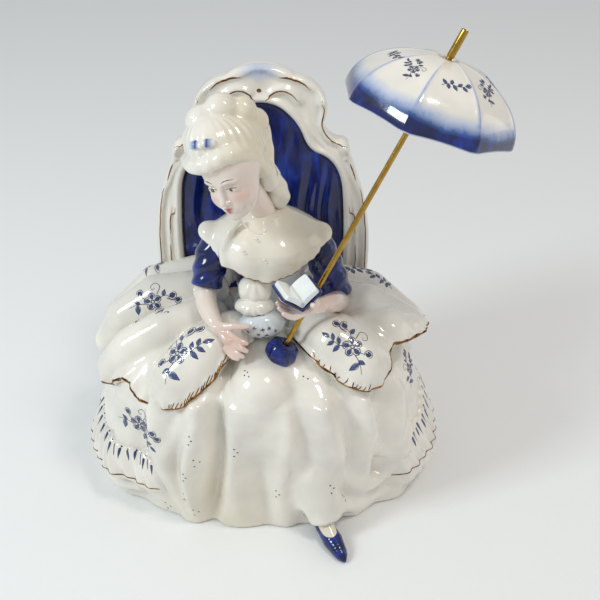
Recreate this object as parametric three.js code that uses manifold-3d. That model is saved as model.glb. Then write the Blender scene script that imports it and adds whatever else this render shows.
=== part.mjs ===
// A porcelain lady seated in a cartouche-backed chair, reading, with a brass-stemmed parasol.
// Millimetres, +Z up. The origin is the middle of the flat foot. The lady faces -Y, and "left" and
// "right" in the names are her own, so her left side is +X.
import * as THREE from 'three';
import { mergeVertices } from 'three/addons/utils/BufferGeometryUtils.js';
import Module from 'manifold-3d';

const wasm = await Module();
wasm.setup();

// ---------------------------------------------------------------- driving dimensions (mm, degrees)
const GAP = 0.35; // left between pieces that are luted, glued or fitted together

const SKIRT_HALF_WIDTH = 89;
const SKIRT_FRONT = 62; // foot to the front of the hem
const SKIRT_BACK = 50;
const SKIRT_HEIGHT = 92; // hem to the top of the hollow body
const SKIRT_WALL = 4;
const FOOT_THICKNESS = 4;
const VENT_DIAMETER = 13;

const LAP_RISE = 6; // the lap stands this much above the hollow body
const OVERSKIRT_RISE = 16; // the hips of the overskirt stand this much above the hollow body
const FLOUNCE_THICKNESS = 5;

const CHAIR_WIDTH = 115;
const CHAIR_HEIGHT = 211;
const CHAIR_THICKNESS = 13;
const CHAIR_LEAN = 7; // degrees back from upright
const CHAIR_FRONT = 33; // the chair back's face behind the hips
const PANEL_THICKNESS = 5;
const PANEL_RECESS = 3;

const TORSO_HEIGHT = 66; // hollow body to the top of the bodice
const CAPE_WIDTH = 61;
const CAPE_THICKNESS = 2.4;
const HEAD_HEIGHT = 34; // chin to crown, without the hair
const ARM_RADIUS = 8.4;
const FOREARM_RADIUS = 5.2;
const BOOK_WIDTH = 12; // one leaf
const BOOK_HEIGHT = 14;
const BOOK_OPENING = 100; // degrees between the two leaves

const ROD_DIAMETER = 2.6;
const ROD_FIT = 0.35; // clearance all round the rod in its socket and in the parasol's hub
const SOCKET_DIAMETER = 15;
const SOCKET_HEIGHT = 11;
const SOCKET_DEPTH = 8.5; // blind hole for the rod
const CANOPY_DISTANCE = 155; // mouth of the socket to the top of the parasol
const CANOPY_RADIUS = 39.5;
const CANOPY_HEIGHT = 26.5;
const CANOPY_WALL = 2.4;
const CANOPY_ASKEW = 5; // degrees that the parasol sits off the rod's own line
const CANOPY_RIBS = 8;
const FERRULE_DIAMETER = 3.4;
const FERRULE_LENGTH = 12.5;
const COLLAR_DIAMETER = 7;
const COLLAR_LENGTH = 5;

// ---------------------------------------------------------------- places worked out from them
const RAD = Math.PI / 180;
const LAP_TOP = SKIRT_HEIGHT + LAP_RISE;
const SHOULDER_Z = SKIRT_HEIGHT + TORSO_HEIGHT - 10;
const TORSO = new THREE.Vector3(4, -2, SKIRT_HEIGHT);
const NECK_TOP = new THREE.Vector3(-5, -15, SHOULDER_Z + 26);
const HEAD_CENTRE = new THREE.Vector3(-12, -20, NECK_TOP.z + 11);
const ROD_AXIS = new THREE.Vector3(0.448, 0.116, 0.886).normalize();
const SOCKET_MOUTH = new THREE.Vector3(13.2, -38, LAP_TOP + 4);

// ---------------------------------------------------------------- materials
const finish = (color, roughness, metalness = 0) =>
  new THREE.MeshStandardMaterial({ color, roughness, metalness });
const PORCELAIN = finish('#e9e6dc', 0.12);
const COBALT = finish('#15285c', 0.12);
const FLESH = finish('#e6c8b4', 0.2);
const BRASS = finish('#a98a45', 0.3, 1);
const BISQUE = finish('#d6d0c4', 0.8);
const PAGES = finish('#eef0ec', 0.2);

// ---------------------------------------------------------------- geometry helpers
// A closed three.js geometry as a solid, with its faces turned out.
function solidOf(geometry) {
  const bare = geometry.index ? geometry.toNonIndexed() : geometry.clone();
  for (const name of Object.keys(bare.attributes)) {
    if (name !== 'position') bare.deleteAttribute(name);
  }
  const merged = mergeVertices(bare, 1e-3);
  const points = merged.attributes.position.array;
  const triangles = [];
  for (let i = 0; i < merged.index.count; i += 3) {
    const [a, b, c] = [0, 1, 2].map((k) => merged.index.getX(i + k));
    if (a !== b && b !== c && c !== a) triangles.push(a, b, c);
  }
  let volume = 0;
  const corner = (k) => new THREE.Vector3().fromArray(points, 3 * k);
  for (let i = 0; i < triangles.length; i += 3) {
    const [a, b, c] = triangles.slice(i, i + 3).map(corner);
    volume += a.dot(b.cross(c));
  }
  if (volume < 0) triangles.reverse();
  return new wasm.Manifold(
    new wasm.Mesh({
      numProp: 3,
      vertProperties: new Float32Array(points),
      triVerts: new Uint32Array(triangles),
    }),
  );
}

function geometryOf(solid) {
  const mesh = solid.getMesh();
  const geometry = new THREE.BufferGeometry();
  geometry.setAttribute('position', new THREE.BufferAttribute(mesh.vertProperties, 3));
  geometry.setIndex(new THREE.BufferAttribute(mesh.triVerts, 1));
  geometry.computeVertexNormals();
  return geometry;
}

// Moves each vertex of a geometry by a function of its place.
function warped(geometry, move) {
  const place = geometry.attributes.position;
  const point = new THREE.Vector3();
  for (let i = 0; i < place.count; i += 1) {
    move(point.fromBufferAttribute(place, i));
    place.setXYZ(i, point.x, point.y, point.z);
  }
  return geometry;
}

const without = (solid, ...cutters) => cutters.reduce((left, cutter) => left.subtract(cutter), solid);
const degrees = (point) => Math.atan2(point.y, point.x) / RAD;

// The largest of the separate lumps that cutting may leave.
function mainLump(solid) {
  const lumps = solid.decompose();
  return lumps.reduce((best, lump) => (lump.volume() > best.volume() ? lump : best));
}

// An ellipsoid with its poles on Z, turned by Euler angles in degrees.
function blob({ centre, radii, turn = [0, 0, 0], segments = 20, rings = 12, grow = 0, shape }) {
  const ball = new THREE.SphereGeometry(1, segments, rings).rotateX(Math.PI / 2);
  ball.scale(radii[0] + grow, radii[1] + grow, radii[2] + grow);
  if (shape) warped(ball, shape);
  const [x, y, z] = turn.map((angle) => angle * RAD);
  const place = new THREE.Matrix4().makeRotationFromEuler(new THREE.Euler(x, y, z));
  place.setPosition(...centre);
  return solidOf(ball.applyMatrix4(place));
}

// A profile of [radius, height] points spun round Z.
const spun = (profile, segments = 24) =>
  new THREE.LatheGeometry(
    profile.map(([radius, height]) => new THREE.Vector2(Math.max(radius, 0), height)),
    segments,
  ).rotateX(Math.PI / 2);

// The matrix that takes the Z axis to a direction and the origin to a point.
function along(origin, direction) {
  const turn = new THREE.Quaternion().setFromUnitVectors(
    new THREE.Vector3(0, 0, 1),
    direction.clone().normalize(),
  );
  return new THREE.Matrix4().compose(origin, turn, new THREE.Vector3(1, 1, 1));
}

// A round-ended limb from one point to another, with radii at equal steps along it.
function limb(from, to, radii, { grow = 0, segments = 14 } = {}) {
  const start = new THREE.Vector3(...from);
  const span = new THREE.Vector3(...to).sub(start);
  const length = span.length();
  const profile = [[0, -radii[0] - grow]];
  const first = radii[0] + grow;
  profile.push([first * Math.cos(45 * RAD), -first * Math.sin(45 * RAD)]);
  radii.forEach((radius, k) => profile.push([radius + grow, (length * k) / (radii.length - 1)]));
  const last = radii.at(-1) + grow;
  profile.push([last * Math.cos(45 * RAD), length + last * Math.sin(45 * RAD)]);
  profile.push([0, length + last]);
  return solidOf(spun(profile, segments).applyMatrix4(along(start, span)));
}

// A straight extrusion of an outline along Z, from one height to another.
function slab(outline, bottom, top, curveSegments = 10) {
  const depth = top - bottom;
  const geometry = new THREE.ExtrudeGeometry(outline, { depth, bevelEnabled: false, curveSegments });
  return geometry.translate(0, 0, bottom);
}

// Heights given at a few angles round the figure, joined smoothly.
function heightsAround(stops) {
  return (angle) => {
    const after = stops.findIndex(([stop]) => stop >= angle);
    if (after <= 0) return stops[after === 0 ? 0 : stops.length - 1][1];
    const [[a, low], [b, high]] = [stops[after - 1], stops[after]];
    const share = (angle - a) / (b - a);
    return low + (high - low) * share * share * (3 - 2 * share);
  };
}

// ---------------------------------------------------------------- skirt and foot
// Half width at each height, both as shares of the skirt's own size.
const SKIRT_PROFILE = [
  [1, 0],
  [1.005, 0.12],
  [0.985, 0.3],
  [0.96, 0.48],
  [0.93, 0.64],
  [0.9, 0.76],
  [0.83, 0.87],
  [0.66, 0.95],
  [0.36, 0.99],
];
const HEM_SQUARENESS = 2.35;
const FRONT_FULLNESS = 0.2; // how much the front stands out towards the knees
const FOLD_DEPTH = 1.6;
const FOLD_COUNT = 12;
const SKIRT_SIDES = 40;
const SKIRT_CLEARANCE = GAP * 1.6; // measured along the half width, so the front keeps a full gap

function hemShare(angle, rise) {
  const depth = Math.sin(angle) < 0 ? SKIRT_FRONT * (1 + FRONT_FULLNESS * rise) : SKIRT_BACK;
  const across = Math.abs(Math.cos(angle)) ** HEM_SQUARENESS;
  const deep = (Math.abs(Math.sin(angle)) * (SKIRT_HALF_WIDTH / depth)) ** HEM_SQUARENESS;
  return (across + deep) ** (-1 / HEM_SQUARENESS);
}

// Turns a round body of revolution into the skirt's own plan, with its soft vertical folds.
function skirtPlan(point) {
  const radius = Math.hypot(point.x, point.y);
  if (radius < 1e-6) return;
  const angle = Math.atan2(point.y, point.x);
  const rise = THREE.MathUtils.clamp(point.z / SKIRT_HEIGHT, 0, 1);
  const depth = FOLD_DEPTH * (1 - rise) * Math.min(1, radius / SKIRT_HALF_WIDTH);
  const fold = depth * Math.cos(FOLD_COUNT * angle);
  const share = hemShare(angle, rise) * (1 + fold / SKIRT_HALF_WIDTH);
  point.x *= share;
  point.y *= share;
}

const skirtProfile = (inset) =>
  SKIRT_PROFILE.map(([width, height]) => [width * SKIRT_HALF_WIDTH - inset, height * SKIRT_HEIGHT]);

function skirtBody(grow) {
  const outer = skirtProfile(-grow);
  const profile = [[0, 0], ...outer, [0, SKIRT_HEIGHT + grow]];
  return solidOf(warped(spun(profile, SKIRT_SIDES), skirtPlan));
}

function underskirt() {
  const outer = skirtProfile(0);
  const inner = skirtProfile(SKIRT_WALL).map(([radius, height], k) => [
    radius,
    k === 0 ? 0 : height - SKIRT_WALL * (height / SKIRT_HEIGHT) ** 3,
  ]);
  const profile = [[0, SKIRT_HEIGHT], ...outer.reverse(), ...inner, [0, SKIRT_HEIGHT - SKIRT_WALL]];
  return solidOf(warped(spun(profile, SKIRT_SIDES), skirtPlan));
}

function footPlate() {
  const edge = SKIRT_HALF_WIDTH - SKIRT_WALL - SKIRT_CLEARANCE;
  const profile = [[0, 0], [edge, 0], [edge, FOOT_THICKNESS], [0, FOOT_THICKNESS]];
  const plate = solidOf(warped(spun(profile, SKIRT_SIDES), skirtPlan));
  const vent = new THREE.CylinderGeometry(VENT_DIAMETER / 2, VENT_DIAMETER / 2, 4 * FOOT_THICKNESS, 24);
  return plate.subtract(solidOf(vent.rotateX(Math.PI / 2).translate(0, SKIRT_BACK / 2.4, 0)));
}

// ---------------------------------------------------------------- lap and overskirt
const lap = (grow = 0) =>
  blob({ centre: [7, -27, LAP_TOP - 20], radii: [31, 33.5, 20], grow, segments: 24 });

const HIP_RADII = [SKIRT_HALF_WIDTH * 0.5, (SKIRT_FRONT + SKIRT_BACK) / 2, 40];
const HIP_SQUARENESS = 0.86; // 1 is an ellipsoid, and less is boxier
const HIP_OVERHANG = -3; // how far the overskirt's side stands beyond the hem's
function hip(side) {
  const centre = [
    side * (SKIRT_HALF_WIDTH + HIP_OVERHANG - HIP_RADII[0]),
    (SKIRT_BACK - SKIRT_FRONT) / 2 + 3,
    SKIRT_HEIGHT + OVERSKIRT_RISE - HIP_RADII[2],
  ];
  const square = (value, radius) =>
    Math.sign(value) * radius * Math.abs(value / radius) ** HIP_SQUARENESS;
  const shape = (point) =>
    point.set(...point.toArray().map((value, axis) => square(value, HIP_RADII[axis])));
  return blob({ centre, radii: HIP_RADII, segments: 28, rings: 16, shape });
}

// The overskirt's wavy lower edge: [angle round the figure, height as a share of the skirt's height].
const OVERSKIRT_EDGE = heightsAround([
  [-180, 0.73],
  [-172, 0.7],
  [-158, 0.77],
  [-149, 0.88],
  [-142, 0.81],
  [-130, 0.8],
  [-116, 0.93],
  [-104, 1.09],
  [-66, 1.09],
  [-55, 1.0],
  [-48, 0.94],
  [-41, 1.0],
  [-33, 1.1],
  [-18, 1.06],
  [-4, 0.98],
  [14, 0.84],
  [40, 0.74],
  [90, 0.8],
  [140, 0.76],
  [180, 0.73],
]);

// Everything below the overskirt's edge.
function belowEdge() {
  const reach = SKIRT_HALF_WIDTH * 1.5;
  const bottom = -1;
  const profile = [[0, bottom], [reach, bottom], [reach, 1], [reach / 8, 1], [0, 1]];
  return solidOf(
    warped(spun(profile, 72), (point) => {
      if (point.z === bottom) return;
      const share = Math.hypot(point.x, point.y) < 1 ? 0.7 : OVERSKIRT_EDGE(degrees(point));
      point.z = SKIRT_HEIGHT * share;
    }),
  );
}

// A pleated band of cloth on the side of the skirt, between two angles and two heights.
const PLEAT_DEPTH = 0.8;
const PLEAT_COUNT = 70; // all the way round
function flounce(fromAngle, toAngle, bottom, top) {
  const inner = (height) => profileAt(height) + SKIRT_CLEARANCE;
  const taper = (height) => 1 - 0.55 * ((height - bottom) / (top - bottom));
  const outer = (height) => inner(height) + FLOUNCE_THICKNESS * taper(height);
  const middle = (bottom + top) / 2;
  const heights = [bottom, middle, top];
  const profile = [
    ...heights.map((height) => [outer(height), height]),
    ...heights.reverse().map((height) => [inner(height), height]),
  ];
  profile.push(profile[0]);
  const ring = warped(spun(profile, 96), (point) => {
    const radius = Math.hypot(point.x, point.y);
    const proud = radius > inner(point.z) + 1;
    const depth = proud ? PLEAT_DEPTH / SKIRT_HALF_WIDTH : 0;
    const pleat = 1 + depth * Math.cos(PLEAT_COUNT * Math.atan2(point.y, point.x));
    point.x *= pleat;
    point.y *= pleat;
    skirtPlan(point);
  });
  const reach = SKIRT_HALF_WIDTH * 1.6;
  const corner = (angle) => [reach * Math.cos(angle * RAD), reach * Math.sin(angle * RAD)];
  const wedge = new THREE.Shape();
  wedge.moveTo(0, 0);
  const steps = 4;
  const step = (toAngle - fromAngle) / steps;
  for (let k = 0; k <= steps; k += 1) {
    wedge.lineTo(...corner(fromAngle + k * step));
  }
  wedge.closePath();
  return solidOf(ring).intersect(solidOf(slab(wedge, bottom - 5, top + 5)));
}

function profileAt(height) {
  const points = skirtProfile(0);
  const above = Math.max(1, points.findIndex(([, z]) => z >= height));
  const [[low, z0], [high, z1]] = [points[above - 1], points[above]];
  return low + ((high - low) * (height - z0)) / (z1 - z0);
}

// ---------------------------------------------------------------- chair
// Half of the cartouche, as shares of half the width and of the height above the seat: each entry
// is a curve's control point and its end.
const SEAT_Z = SKIRT_HEIGHT * 0.62;
const CARTOUCHE = [
  [[0.18, 1.0], [0.3, 0.965]],
  [[0.47, 0.955], [0.56, 0.9]],
  [[0.63, 0.85], [0.56, 0.805]],
  [[0.58, 0.765], [0.69, 0.75]],
  [[0.8, 0.755], [0.8, 0.705]],
  [[0.84, 0.66], [0.93, 0.565]],
  [[1.0, 0.45], [1.0, 0.36]],
  [[1.0, 0.12], [0.8, 0.0]],
];

function cartouche(halfWidth, height, steps) {
  const side = (sign, entry) => entry.map(([x, z]) => [sign * x * halfWidth, z * height]);
  const outline = new THREE.Shape();
  outline.moveTo(0, height);
  for (const entry of steps) {
    const [control, end] = side(1, entry);
    outline.quadraticCurveTo(...control, ...end);
  }
  const [, lastEnd] = side(-1, steps.at(-1));
  outline.lineTo(...lastEnd);
  for (let k = steps.length - 1; k >= 0; k -= 1) {
    const [control] = side(-1, steps[k]);
    const end = k > 0 ? side(-1, steps[k - 1])[1] : [0, height];
    outline.quadraticCurveTo(...control, ...end);
  }
  return outline;
}

// The same for the painted panel, as shares of half its own width and of its own height.
const PANEL_OUTLINE = [
  [[0.2, 1.0], [0.34, 0.945]],
  [[0.44, 0.91], [0.5, 0.86]],
  [[0.56, 0.79], [0.72, 0.775]],
  [[0.94, 0.74], [0.98, 0.62]],
  [[1.02, 0.45], [1.0, 0.28]],
  [[0.99, 0.1], [0.94, 0.0]],
];
const CHAIR_RISE = (CHAIR_HEIGHT - SEAT_Z) / Math.cos(CHAIR_LEAN * RAD);
const PANEL_HALF_WIDTH = CHAIR_WIDTH * 0.375;
const PANEL_RISE = CHAIR_RISE * 0.785;
const PANEL_FOOT = 14; // above the foot of the chair back

// From the chair back's own plane (x across, y up, z towards its back) to the figure's frame.
function leaned(geometry) {
  const hinge = CHAIR_FRONT - (SKIRT_HEIGHT + OVERSKIRT_RISE - SEAT_Z) * Math.tan(CHAIR_LEAN * RAD);
  geometry.rotateX(Math.PI / 2).scale(1, -1, 1);
  geometry.rotateX(-CHAIR_LEAN * RAD).translate(0, hinge, SEAT_Z);
  return geometry;
}

function chairBlank(grow = 0) {
  const outline = cartouche(CHAIR_WIDTH / 2 + grow, CHAIR_RISE, CARTOUCHE);
  return solidOf(leaned(slab(outline, -grow, CHAIR_THICKNESS + grow, 5)));
}
function panelBlank(grow, front, back) {
  const outline = cartouche(PANEL_HALF_WIDTH + grow, PANEL_RISE + grow, PANEL_OUTLINE);
  const block = slab(outline, front, back, 6).translate(0, PANEL_FOOT - grow / 2, 0);
  return solidOf(leaned(block));
}

function chairFrame() {
  return chairBlank().subtract(panelBlank(GAP, -5, PANEL_RECESS + PANEL_THICKNESS + GAP));
}

// The chair's lower back, behind the skirt: it runs up behind the foot of the cartouche and stands
// on two splayed feet with an arch between them.
const BASE_TOP = SKIRT_HEIGHT + OVERSKIRT_RISE - 4;
const BASE_HALF_WIDTH = CHAIR_WIDTH * 0.4;
const BASE_THICKNESS = 11;
const BASE_ARCH = 0.34; // height of the arch as a share of the whole
const FOOT_SPLAY = 3;
function chairBase(grow = 0) {
  const half = BASE_HALF_WIDTH + grow;
  const top = BASE_TOP + grow;
  const outline = new THREE.Shape();
  outline.moveTo(-half, top);
  outline.quadraticCurveTo(-half * 0.9, top * 0.4, -half - FOOT_SPLAY, 0);
  outline.lineTo(-half * 0.74, 0);
  outline.quadraticCurveTo(-half * 0.55, top * BASE_ARCH, 0, top * BASE_ARCH);
  outline.quadraticCurveTo(half * 0.55, top * BASE_ARCH, half * 0.74, 0);
  outline.lineTo(half + FOOT_SPLAY, 0);
  outline.quadraticCurveTo(half * 0.9, top * 0.4, half, top);
  outline.closePath();
  const geometry = slab(outline, -grow, BASE_THICKNESS + grow, 5).rotateX(Math.PI / 2).scale(1, -1, 1);
  return solidOf(geometry.translate(0, SKIRT_BACK - 4, 0));
}

// ---------------------------------------------------------------- body
const TORSO_PROFILE = [
  [0.95, 0],
  [0.78, 0.12],
  [0.66, 0.26],
  [0.74, 0.45],
  [0.9, 0.66],
  [0.98, 0.82],
  [0.74, 0.93],
  [0.34, 0.98],
];
function torso(grow = 0) {
  const widest = CAPE_WIDTH * 0.39;
  const profile = TORSO_PROFILE.map(([radius, height]) => [
    radius * widest + grow,
    height * TORSO_HEIGHT,
  ]);
  profile.unshift([0, -grow]);
  profile.push([0, TORSO_HEIGHT + grow]);
  const geometry = spun(profile, 20).scale(1, 0.72, 1);
  return solidOf(geometry.translate(TORSO.x, TORSO.y, TORSO.z));
}

const neck = (grow = 0) => limb([5, -7, SHOULDER_Z], NECK_TOP.toArray(), [8, 6.6, 6.2], { grow });
const skull = (grow = 0) =>
  blob({
    centre: HEAD_CENTRE.toArray(),
    radii: [HEAD_HEIGHT * 0.38, HEAD_HEIGHT * 0.42, HEAD_HEIGHT * 0.5],
    turn: [22, -8, -24],
    grow,
  });
const head = (grow = 0) => skull(grow).add(neck(grow));

// The cape's section from the neck down: radius as a share of half its width, height from the
// shoulders, and how far a thicker copy's outside and inside move up there.
const CAPE_SECTION = [
  [0.28, 12, 1.4, 0.4],
  [0.52, 8.5, 1, -1],
  [0.82, 1.5, 0.6, -1],
  [1.0, -9, 0, -1],
  [0.98, -17, -1, -1],
];
const CAPE_DIP = 6; // the front hangs this much lower than the sides

function cape(grow = 0) {
  const half = CAPE_WIDTH / 2;
  const outer = CAPE_SECTION.map(([radius, height, lift]) => [
    radius * half + grow,
    height + grow * lift,
  ]);
  const inner = CAPE_SECTION.map(([radius, height, , lift]) => [
    radius * half - CAPE_THICKNESS - grow,
    height - 0.8 * CAPE_THICKNESS + grow * lift,
  ]);
  const profile = [...outer, ...inner.reverse()];
  profile.push(profile[0]);
  const geometry = warped(spun(profile, 28).scale(1, 0.8, 1), (point) => {
    const hang = Math.min(1, Math.max(0, -point.z / 17));
    point.z -= CAPE_DIP * hang * Math.max(0, -point.y / half);
  });
  return solidOf(geometry.translate(3.5, -6, SHOULDER_Z));
}

// Arms, named for her own side. Elbow and wrist places hang from the lap and the shoulders.
const RIGHT_SHOULDER = [-19, -5, SHOULDER_Z - 7];
const RIGHT_ELBOW = [-26, -14, LAP_TOP + 23];
const RIGHT_WRIST = [-22, -31, LAP_TOP + 11];
const LEFT_SHOULDER = [27, -3, SHOULDER_Z - 8];
const LEFT_ELBOW = [36.5, -12, LAP_TOP + 16];
const LEFT_WRIST = [29, -43.5, LAP_TOP + 32.5];

const rightSleeve = (grow = 0) =>
  limb(RIGHT_SHOULDER, RIGHT_ELBOW, [ARM_RADIUS, ARM_RADIUS, ARM_RADIUS * 0.86], { grow });
const leftSleeve = (grow = 0) =>
  limb(LEFT_SHOULDER, LEFT_ELBOW, [ARM_RADIUS, ARM_RADIUS, ARM_RADIUS * 0.98], { grow });

const offset = (point, dx, dy, dz) => [point[0] + dx, point[1] + dy, point[2] + dz];

function rightForearm(grow = 0) {
  const elbow = offset(RIGHT_ELBOW, -1, -2, -5);
  const widths = [FOREARM_RADIUS * 1.15, FOREARM_RADIUS, FOREARM_RADIUS * 0.75];
  const arm = limb(elbow, RIGHT_WRIST, widths, { grow });
  const hand = blob({
    centre: offset(RIGHT_WRIST, 6, -4, -3),
    radii: [8, 4, 6.5],
    turn: [-30, 25, 0],
    grow,
    segments: 12,
    rings: 8,
  });
  const thumb = limb(offset(RIGHT_WRIST, 6, -5, 0), offset(RIGHT_WRIST, 15, -8.5, 1), [2.2, 1.5], {
    grow,
    segments: 8,
  });
  return arm.add(hand).add(thumb);
}

function leftForearm(grow = 0) {
  const elbow = offset(LEFT_ELBOW, 3.5, -2, -5.5);
  const widths = [FOREARM_RADIUS * 1.1, FOREARM_RADIUS, FOREARM_RADIUS * 0.72];
  const arm = limb(elbow, LEFT_WRIST, widths, { grow });
  const hand = blob({
    centre: offset(LEFT_WRIST, -10.5, -5, -2.5),
    radii: [9.5, 5.5, 3.4],
    turn: [0, 0, 20],
    grow,
    segments: 12,
    rings: 8,
  });
  return arm.add(hand);
}

// ---------------------------------------------------------------- book
const COVER_THICKNESS = 1.4;
const LEAF_THICKNESS = 2.2;
const HALF_OPENING = (BOOK_OPENING / 2) * RAD;

// A V of two leaves seen from its end, opening upwards.
function openVee(outer, thickness, halfAngle) {
  const shape = new THREE.Shape();
  const tip = (length, rise) => [
    length * Math.sin(halfAngle) - rise * Math.cos(halfAngle),
    length * Math.cos(halfAngle) + rise * Math.sin(halfAngle),
  ];
  const right = tip(outer, 0);
  const rightIn = tip(outer, thickness);
  const fold = thickness / Math.sin(halfAngle);
  shape.moveTo(0, 0);
  shape.lineTo(...right);
  shape.lineTo(...rightIn);
  shape.lineTo(0, fold);
  shape.lineTo(-rightIn[0], rightIn[1]);
  shape.lineTo(-right[0], right[1]);
  shape.closePath();
  return shape;
}

const BOOK_SPINE = new THREE.Vector3(0.38, -0.92, 0).normalize(); // from her towards the viewer
const BOOK_PLACE = offset(LEFT_WRIST, -10.5, -4, 2.4); // middle of the fold's underside

function placedBook(shape, length, lift) {
  const rise = lift / Math.sin(HALF_OPENING);
  const geometry = slab(shape, -length / 2, length / 2, 2).translate(0, rise, 0);
  const up = new THREE.Vector3(0, 0, 1);
  const across = new THREE.Vector3().crossVectors(up, BOOK_SPINE);
  const turn = new THREE.Matrix4().makeBasis(across, up, BOOK_SPINE);
  turn.setPosition(...BOOK_PLACE);
  return solidOf(geometry.applyMatrix4(turn));
}
function bookCover(grow = 0) {
  const shape = openVee(BOOK_WIDTH + 1 + grow, COVER_THICKNESS + 2 * grow, HALF_OPENING);
  return placedBook(shape, BOOK_HEIGHT + 1 + 2 * grow, -grow);
}
const bookPages = () =>
  placedBook(openVee(BOOK_WIDTH, LEAF_THICKNESS, HALF_OPENING), BOOK_HEIGHT, COVER_THICKNESS + GAP);

// ---------------------------------------------------------------- jabot
// Three ruffles down her front: centre and radii of each.
const JABOT = [
  { name: 'jabot_upper', centre: [-0.5, -23, LAP_TOP + 24.5], radii: [8.2, 7, 7.5], turn: [-14, 0, 0] },
  { name: 'jabot_middle', centre: [-1, -25, LAP_TOP + 15.5], radii: [9.4, 8, 5], turn: [-10, 0, 0] },
  { name: 'jabot_lower', centre: [1, -28, LAP_TOP + 7.5], radii: [10.4, 8, 6.4], turn: [-18, 0, 0] },
];
const ruffle = ({ centre, radii, turn }, grow = 0) =>
  blob({
    centre,
    radii,
    turn,
    grow,
    segments: 18,
    rings: 7,
    shape: (point) => {
      const wave = 1 + 0.05 * Math.cos(9 * Math.atan2(point.y, point.x));
      point.x *= wave;
      point.y *= wave;
    },
  });

// ---------------------------------------------------------------- hair
const hairMass = (grow = 0) =>
  blob({
    centre: [HEAD_CENTRE.x + 0.5, HEAD_CENTRE.y + 7.5, HEAD_CENTRE.z + 8],
    radii: [HEAD_HEIGHT * 0.57, HEAD_HEIGHT * 0.6, HEAD_HEIGHT * 0.72],
    turn: [16, 0, -10],
    grow,
    segments: 20,
    rings: 12,
    shape: (point) => {
      const upward = Math.max(0, point.z / HEAD_HEIGHT);
      const lobe = 1 + 0.05 * Math.cos(5 * Math.atan2(point.y, point.x)) * upward;
      point.x *= lobe;
      point.y *= lobe;
    },
  });
// What the hair leaves free: the face, from the forehead down.
const faceClearance = () =>
  limb(
    [HEAD_CENTRE.x - 3, HEAD_CENTRE.y - 9, HEAD_CENTRE.z - 6],
    [HEAD_CENTRE.x - 12, HEAD_CENTRE.y - 34, HEAD_CENTRE.z - 16],
    [HEAD_HEIGHT * 0.4, HEAD_HEIGHT * 0.62],
  );
const ringlet = (grow = 0) =>
  limb(
    [HEAD_CENTRE.x + 18, HEAD_CENTRE.y + 13, HEAD_CENTRE.z - 4],
    [HEAD_CENTRE.x + 26, HEAD_CENTRE.y + 18, HEAD_CENTRE.z - 22],
    [6.4, 5.6, 6.2, 4.6],
    { grow },
  );
const hairBow = (grow = 0) => {
  const centre = [HEAD_CENTRE.x - 8.5, HEAD_CENTRE.y - 10.5, HEAD_CENTRE.z + 18];
  const loop = (dx, tilt) =>
    blob({
      centre: offset(centre, dx, 0, 0),
      radii: [5.5, 3, 3.4],
      turn: [30, tilt, 0],
      grow,
      segments: 10,
      rings: 6,
    });
  return loop(-5, 16).add(loop(5, -16));
};

// ---------------------------------------------------------------- foot
const SHOE_LENGTH = 34;
const SHOE_TOE = [42, -SKIRT_FRONT - 26, 0];
const SHOE_RISE = 5; // floor to the middle of the shoe
function shoe(grow = 0) {
  const heading = new THREE.Vector3(0.42, -0.9, 0).normalize();
  const back = heading.clone().multiplyScalar(-SHOE_LENGTH / 2);
  const middle = offset(SHOE_TOE, back.x, back.y, SHOE_RISE);
  const body = blob({
    centre: middle,
    radii: [6.2, SHOE_LENGTH / 2, 5.6],
    turn: [6, 0, Math.atan2(heading.x, -heading.y) / RAD],
    grow,
    segments: 16,
    rings: 10,
  });
  const floor = new THREE.BoxGeometry(120, 120, 40).translate(...middle).translate(0, 0, -25 - grow);
  return body.subtract(solidOf(floor));
}
const stocking = () =>
  limb(
    [SHOE_TOE[0] - 12, SHOE_TOE[1] + 24, 17],
    [SHOE_TOE[0] - 6.5, SHOE_TOE[1] + 12.5, 8],
    [6, 5, 4.4],
  );

// ---------------------------------------------------------------- parasol
const onRod = (distance) => SOCKET_MOUTH.clone().addScaledVector(ROD_AXIS, distance);
const rodTube = (from, to, diameter, bore = 0, segments = 16) => {
  const outer = diameter / 2;
  const inner = bore / 2;
  const profile = bore
    ? [[inner, from], [outer, from], [outer, to], [inner, to], [inner, from]]
    : [[0, from], [outer, from], [outer, to], [0, to]];
  return solidOf(spun(profile, segments).applyMatrix4(along(SOCKET_MOUTH, ROD_AXIS)));
};

function socket(grow = 0) {
  const radius = SOCKET_DIAMETER / 2 + grow;
  const depth = SOCKET_HEIGHT + grow;
  const profile = [
    [0, -depth],
    [radius * 0.8, -depth],
    [radius, -depth * 0.6],
    [radius, -depth * 0.3],
    [radius * 0.8, -depth * 0.05 + grow],
    [radius * 0.55, grow],
    [0, grow],
  ];
  return solidOf(spun(profile, 20).applyMatrix4(along(SOCKET_MOUTH, ROD_AXIS)));
}
const ROD_BORE = ROD_DIAMETER + 2 * ROD_FIT;
const rodHole = () => rodTube(-SOCKET_DEPTH, CANOPY_DISTANCE * 1.2, ROD_BORE);
const ROD_FOOT = -SOCKET_DEPTH + ROD_FIT;
const FERRULE_SEAT = CANOPY_DISTANCE + 0.4;
const rodPath = () => rodTube(0, CANOPY_DISTANCE, ROD_BORE);
const rod = () => rodTube(ROD_FOOT, FERRULE_SEAT + FERRULE_LENGTH * 0.6, ROD_DIAMETER);
const SNUG_BORE = ROD_DIAMETER + GAP * 0.9; // for the brass pieces pressed onto the rod
const ferrule = () =>
  rodTube(FERRULE_SEAT, FERRULE_SEAT + FERRULE_LENGTH, FERRULE_DIAMETER, SNUG_BORE);

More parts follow.
